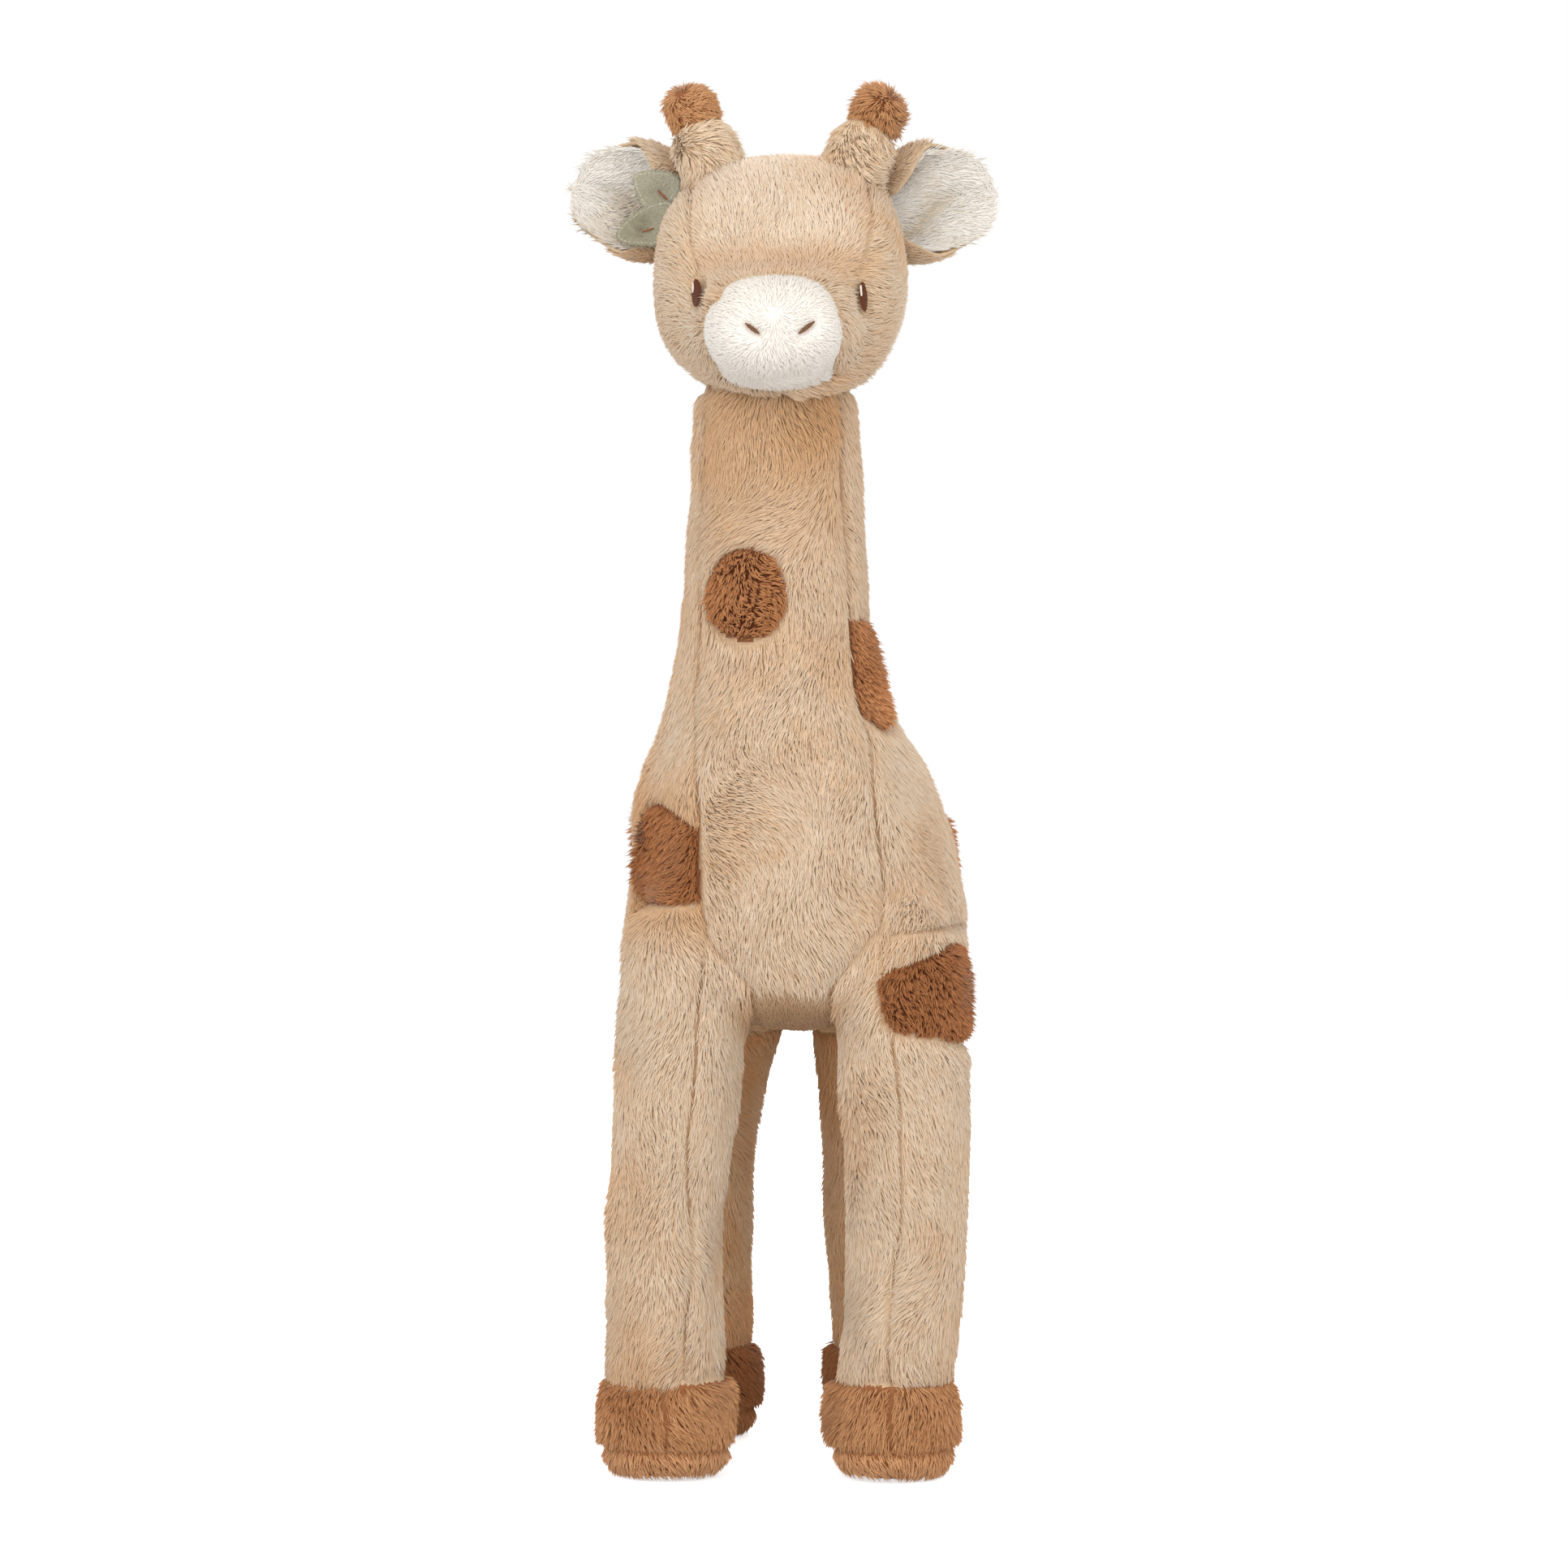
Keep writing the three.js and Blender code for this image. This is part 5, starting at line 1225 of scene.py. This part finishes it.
ear = {
    "length": 48,
    "start": -7,  # how far the root lies inside the head's side
    "shares": (0, 0.08, 0.2, 0.3, 0.43, 0.55, 0.67, 0.78, 0.87, 0.93, 0.97, 1),
    "halfAbove": (8, 11, 14.6, 17, 18.8, 19.4, 18.9, 17.4, 15, 12.4, 9.4, 0),
    "halfBelow": (9, 12.5, 16.5, 18.5, 19.4, 19.2, 18.2, 16.2, 14, 11.4, 8.6, 0),
    "curlAbove": (3.0, 3.0, 3.0, 2.95, 2.65, 2.05, 1.45, 1.1, 0.85, 0.7, 0.6, 0.5),
    "curlBelow": (2.8, 2.75, 2.6, 2.45, 2.1, 1.65, 1.25, 1.0, 0.8, 0.7, 0.6, 0.5),
    "flatness": 0.5,
    "sweep": 6, "lift": {"left": 8, "right": 12},
    "y": -9, "z": -1.5,  # of the root, and from its joint
    "fold": {"shares": (0.1, 0.3, 0.5, 0.7, 0.85, 1), "across": (-0.32, -0.22, -0.05, 0.08, 0.15, 0.2),
             "deep": (2, 3.4, 4.2, 3, 0.8, 0), "wide": 0.12},
}
earParts = {
    "back": {"low": -2.2, "high": 0.1, "colour": "tan", "slot": "tan_plush", "look": "ear"},
    "lining": {"low": 0.3, "high": 1.8, "colour": "lining", "slot": "white_plush", "look": "lining"},
}


def earFold(share, across):
    # How near each place is to the fold along the lining, from 0 to 1
    fold = ear["fold"]
    return np.exp(-(((across - np.interp(share, fold["shares"], fold["across"])) / fold["wide"]) ** 2))


def gathered(flat, side):
    # Curls ear places, given as share along, share across and depth in mm, and sets them at the head
    share, across, depth = flat.T

    def along(above, below):
        above, below = (np.interp(share, ear["shares"], ear[key]) for key in (above, below))
        return np.where(across > 0, above, below)

    curl = along("curlAbove", "curlBelow")
    angle = across * curl
    radius = along("halfAbove", "halfBelow") / np.sin(np.minimum(curl, math.pi / 2))
    normal = unit(np.stack([np.cos(angle), -ear["flatness"] * np.sin(angle)], 1))
    forward = ear["flatness"] * radius * (1 - np.cos(angle)) + normal[:, 0] * depth
    forward -= earFold(share, across) * np.interp(share, ear["fold"]["shares"], ear["fold"]["deep"])
    rise = radius * np.sin(angle) + normal[:, 1] * depth
    out = share * ear["length"] + ear["start"]
    lift, sweep = math.radians(ear["lift"][side]), math.radians(ear["sweep"])
    out, rise = out * math.cos(lift) - rise * math.sin(lift), out * math.sin(lift) + rise * math.cos(lift)
    out, forward = out * math.cos(sweep) - forward * math.sin(sweep), out * math.sin(sweep) + forward
    x, _, z = pivots[f"ear_{side}_fold"] / mm
    return np.stack([x + sideSigns[side] * out, ear["y"] - forward, z + ear["z"] + rise], 1) * mm


def earCushion(name, low, high):
    # A closed cushion with its poles at the ear's root and tip, and its points as gathered reads them
    cushion = made(bpy.ops.mesh.primitive_uv_sphere_add, segments=72, ring_count=28, radius=1)
    cushion.name = name
    ball = placesOf(cushion)
    ring = np.sqrt(np.clip(1 - ball[:, 2] ** 2, 1e-9, 1))
    across, depth = ball[:, 0] / ring, ball[:, 1] / ring
    depth = np.sign(depth) * np.abs(depth) ** 0.45 * ring**0.4 * (high - low) / 2 + (low + high) / 2
    pole = ring < 0.01
    across[pole], depth[pole] = 0, (low + high) / 2
    return cushion, np.stack([(1 + ball[:, 2]) / 2, across, depth], 1)


def makeEar(index, side, part, own):
    node, span = f"ear_{side}_{part}", {"bodies": [f"ear_{side}"]}
    cloth, flat = earCushion(f"{node}_cloth", own["low"], own["high"])
    rolled = np.clip((0.7 - flat[:, 0]) / 0.2, 0, 1)
    if part == "back":
        flat[:, 0] *= 0.975
        flat[:, 1] *= 0.95 + 0.05 * rolled
    else:
        flat[:, 1] *= 1 - 0.09 * rolled
    movePoints(cloth, gathered(flat, side))
    outwards(cloth)
    dress(cloth, backings[own["colour"]], own["slot"], [node], **span)
    roots, outs, corners, shares = scattered(cloth, own["look"], 700 + index, True)
    at = (flat[corners] * shares).sum(1)
    share, across, depth = at.T
    step = np.zeros_like(at)
    step[:, 0] = 0.03
    step[:, 1] = 0.05 * np.sign(across) * np.abs(across) ** 1.5
    ways = gathered(at + step, side) - gathered(at, side)
    rim = (np.abs(across) > np.where(share < 0.6, 0.92, 0.8)) | (share > 0.9)
    if part == "back":
        keep = (depth < -0.9) & ~rim & (share > 0.1)
        # painted shade on the ear's back near its root, beside the head
        fade = np.clip(0.8 - 2 * share, 0, 0.7)
    else:
        keep = (depth > 0.7) & (share > 0.1)
        # painted shade in the lining's fold
        fade = earFold(share, across) ** 2 * np.clip(2.2 - 3 * share, 0, 1)
    field = (roots, outs, ways, np.full(len(roots), far), outs, fade)
    furred(f"{node}_pile", field, keep, own["look"], 720 + index, own["colour"], own["slot"], [node], span)


def makeEars():
    for index, side in enumerate(sideSigns):
        for part, own in earParts.items():
            makeEar(index, side, part, own)
    say("ears")


# Felt leaves at the right ear's root: outlines out from the head and up, in mm

felt = {"thick": 1.2, "edgeIn": 1.0, "edgePitch": 1.5, "onTop": 0.75}
leaves = {
    "leaf_upper": {
        "outline": [(16.8, 6.9), (14.2, 9.2), (7.2, 10), (2.1, 8.9), (-1.4, 6.2), (-0.9, 2.4), (2.1, -1.7),
                    (7.4, -3), (12.3, -4.2), (14.9, 1.2)],
        "root": (-37.6, -29.6, 463.4), "fold": (5.6, 2.2), "tack": ((7.6, 2.8), (3.4, -1.6)),
    },
    "leaf_lower": {
        "outline": [(19, -9.9), (17.6, -6.2), (13.6, -2.1), (8.9, 1.2), (3.4, 3), (-1.8, 3.5), (-3, -3),
                    (-1, -9), (4, -12.8), (9.5, -12.7), (15.7, -12.3)],
        "root": (-41.3, -30, 458.6), "fold": (8, -6.5), "tack": ((9.8, -7.6), (5, -6.4)),
    },
}


def leafShape(own):
    # The outline, its middle, and a function that sets places on it at the head
    outline = rounded(own["outline"], 1)
    middle = outline.mean(0)
    root = np.array(own["root"])

    def placed(flat, forward):
        # Pinched at its root, curled at its rim, and this far in front of the felt's middle
        pinch = -2.2 * np.exp(-((flat - np.array(own["fold"])) ** 2).sum(1) / 14)
        bend = pinch + 0.012 * ((flat - middle) ** 2).sum(1) + 0.05 * flat[:, 0]
        return (root + np.stack([-flat[:, 0], -bend - forward, flat[:, 1]], 1)) * mm

    return outline, middle, placed


def edgeKnots(outline, middle):
    # Places for the edge stitches, inside the rim
    reach = np.linalg.norm(outline - middle, axis=1)
    inner = middle + (outline - middle) * (1 - felt["edgeIn"] / np.maximum(reach, 2))[:, None]
    line = np.concatenate([inner, inner[:1]])
    steps = np.concatenate([[0], np.cumsum(np.linalg.norm(np.diff(line, axis=0), axis=1))])
    knots = np.linspace(0, steps[-1], int(steps[-1] / felt["edgePitch"]) + 1)
    return np.stack([np.interp(knots, steps, line[:, i]) for i in range(2)], 1)


def makeLeaf(index, name, own):
    span = {"bodies": [name]}
    outline, middle, placed = leafShape(own)
    sheet = made(bpy.ops.mesh.primitive_uv_sphere_add, segments=64, ring_count=16, radius=1)
    sheet.name = f"{name}_felt"
    ball = placesOf(sheet)
    angle = np.arctan2(ball[:, 1], ball[:, 0]) % (2 * math.pi)
    rimAngle = np.arctan2(*(outline - middle).T[::-1]) % (2 * math.pi)
    order = np.argsort(rimAngle)
    rim = np.linalg.norm(outline - middle, axis=1)[order]
    radius = np.interp(angle, rimAngle[order], rim, period=2 * math.pi)
    radius = radius * np.minimum(np.linalg.norm(ball[:, :2], axis=1), 1)
    flat = middle + radius[:, None] * np.stack([np.cos(angle), np.sin(angle)], 1)
    thick = np.sign(ball[:, 2]) * np.clip(np.abs(ball[:, 2]) * 3, 0, 1) * felt["thick"] / 2
    movePoints(sheet, placed(flat, thick))
    outwards(sheet)
    dress(sheet, backings["green"], "green_felt", [name], **span)
    roots, outs, _, _ = scattered(sheet, "felt", 800 + index, True)
    ways = np.tile(np.array([-1.0, 0, 0.4]), (len(roots), 1))
    field = (roots, outs, ways, np.full(len(roots), far), outs, np.zeros(len(roots)))
    furred(f"{name}_nap", field, slice(None), "felt", 810 + index, "green", "green_felt", [name], span)
    seam = placed(edgeKnots(outline, middle), felt["onTop"])
    starts, ends = seam[:-1] * 0.9 + seam[1:] * 0.1, seam[:-1] * 0.1 + seam[1:] * 0.9
    front = np.tile(np.array([0, -1.0, 0]), (len(starts), 1))
    edging = stitched(f"{name}_edge_stitches", starts, ends, front, 0.17, 0.12)
    dress(edging, threads["green"], "green_felt", [name], **span)
    start, end = placed(np.array(own["tack"]), felt["onTop"])
    shift = np.array([0.35, 0, 0.3]) * mm
    tack = stitched(f"{name}_tack_stitches", [start, start + shift], [end, end + shift], front[:2], 0.2, 0.2)
    dress(tack, threads["tack"], "brown_thread", [name], **span)


def makeLeaves():
    for index, (name, own) in enumerate(leaves.items()):
        makeLeaf(index, name, own)
    say("leaves")


# Stitched eyes and nostrils: satin stitches laid on the head's surface

def stitched(name, starts, ends, outs, radius, rise):
    # Threads from each start to its end, arching out of the surface
    bead = made(bpy.ops.mesh.primitive_uv_sphere_add, segments=6, ring_count=8, radius=1)
    shape = placesOf(bead)
    faces = [tuple(polygon.vertices) for polygon in bead.data.polygons]
    bpy.data.objects.remove(bead)
    share = (shape[:, 2] + 1) / 2
    reach = np.linalg.norm(shape[:, :2], axis=1)
    across = shape[:, :2] / np.maximum(reach, 1e-6)[:, None] * reach[:, None] ** 0.5
    arch = (np.sin(share * math.pi) ** 0.6 * rise * mm)[:, None]
    points, allFaces = [], []
    for start, end, out in zip(starts, ends, outs):
        side = np.cross((end - start) / np.linalg.norm(end - start), out)
        side /= np.linalg.norm(side)
        allFaces += [tuple(v + len(points) * len(shape) for v in face) for face in faces]
        centre = start + (end - start) * share[:, None] + out * arch
        points.append(centre + (across[:, :1] * side + across[:, 1:] * out) * radius * mm)
    mesh = bpy.data.meshes.new(name)
    mesh.from_pydata(np.concatenate(points).tolist(), [], allFaces)
    mesh.shade_smooth()
    piece = linked(name, mesh)
    outwards(piece)
    return piece


def satin(node, tree, mark, lift, colour, slot):
    # An oval filled with satin stitches across it, laid on the head as seen from the front
    turn = math.radians(mark["tilt"])
    wide, tall = mark["wide"], mark["tall"]
    count = int(tall / stitches["pitch"])
    random = np.random.default_rng(int(abs(mark["middle"][0]) * 10))
    starts, ends, outs = [], [], []
    for step in range(count):
        along = ((step + 0.5) / count - 0.5) * tall
        half = wide / 2 * math.sqrt(max(0.03, 1 - (2 * along / tall) ** 2)) + random.uniform(-0.08, 0.08)
        for across, found in ((-half, starts), (half, ends)):
            x = mark["middle"][0] + across * math.cos(turn) - along * math.sin(turn)
            z = mark["middle"][1] + along * math.cos(turn) + across * math.sin(turn)
            place, out, _, _ = tree.ray_cast(Vector((x, -200, z)) * mm, Vector((0, 1, 0)))
            out = np.array(out)
            found.append(np.array(place) + out * lift * mm)
        outs.append(out)
    piece = stitched(f"{node}_stitches", starts, ends, outs, stitches["thread"], stitches["arch"])
    dress(piece, threads[colour], slot, [node], **spans["head"])


def threadFinish(name, colour, deep):
    shade = Shade(name)
    tone = shade.mix(shade.noise(2600, 2), deep, colour)
    return shade.surface({"Base Color": tone, "Roughness": 0.6, "Specular IOR Level": 0.2})


threads = {
    "brown": threadFinish("brown_thread", linear(106, 54, 24), linear(66, 30, 12)),
    "tack": threadFinish("tack_thread", linear(158, 98, 66), linear(122, 70, 42)),
    "soft": threadFinish("nostril_thread", linear(122, 88, 58), linear(88, 58, 36)),
    "white": threadFinish("white_thread", linear(236, 226, 214), linear(200, 186, 172)),
    "green": threadFinish("green_thread", linear(206, 202, 180), linear(178, 172, 148)),
}


def stitchFace(form):
    tree = BVHTree.FromObject(form, bpy.context.evaluated_depsgraph_get())
    for side, eye in eyes.items():
        satin(f"eye_{side}", tree, eye, stitches["eyeLift"], "brown", "brown_thread")
        x, z = eye["middle"]
        dx, dz, wide, tall = eye["glint"]
        glint = {"middle": (x + dx, z + dz), "wide": wide, "tall": tall, "tilt": eye["tilt"]}
        satin(f"eye_{side}_highlight", tree, glint, stitches["glintLift"], "white", "white_thread")
        satin(f"nostril_{side}", tree, nostrils[side], stitches["nostrilLift"], "soft", "brown_thread")
    say("face stitched")


addCamera()
addStudio()
dressBody(makeBody())
makeFeet()
makeTail()
headForm = makeHead()
stitchFace(headForm)
dressHead(headForm)
makeOssicones()
makeEars()
makeLeaves()
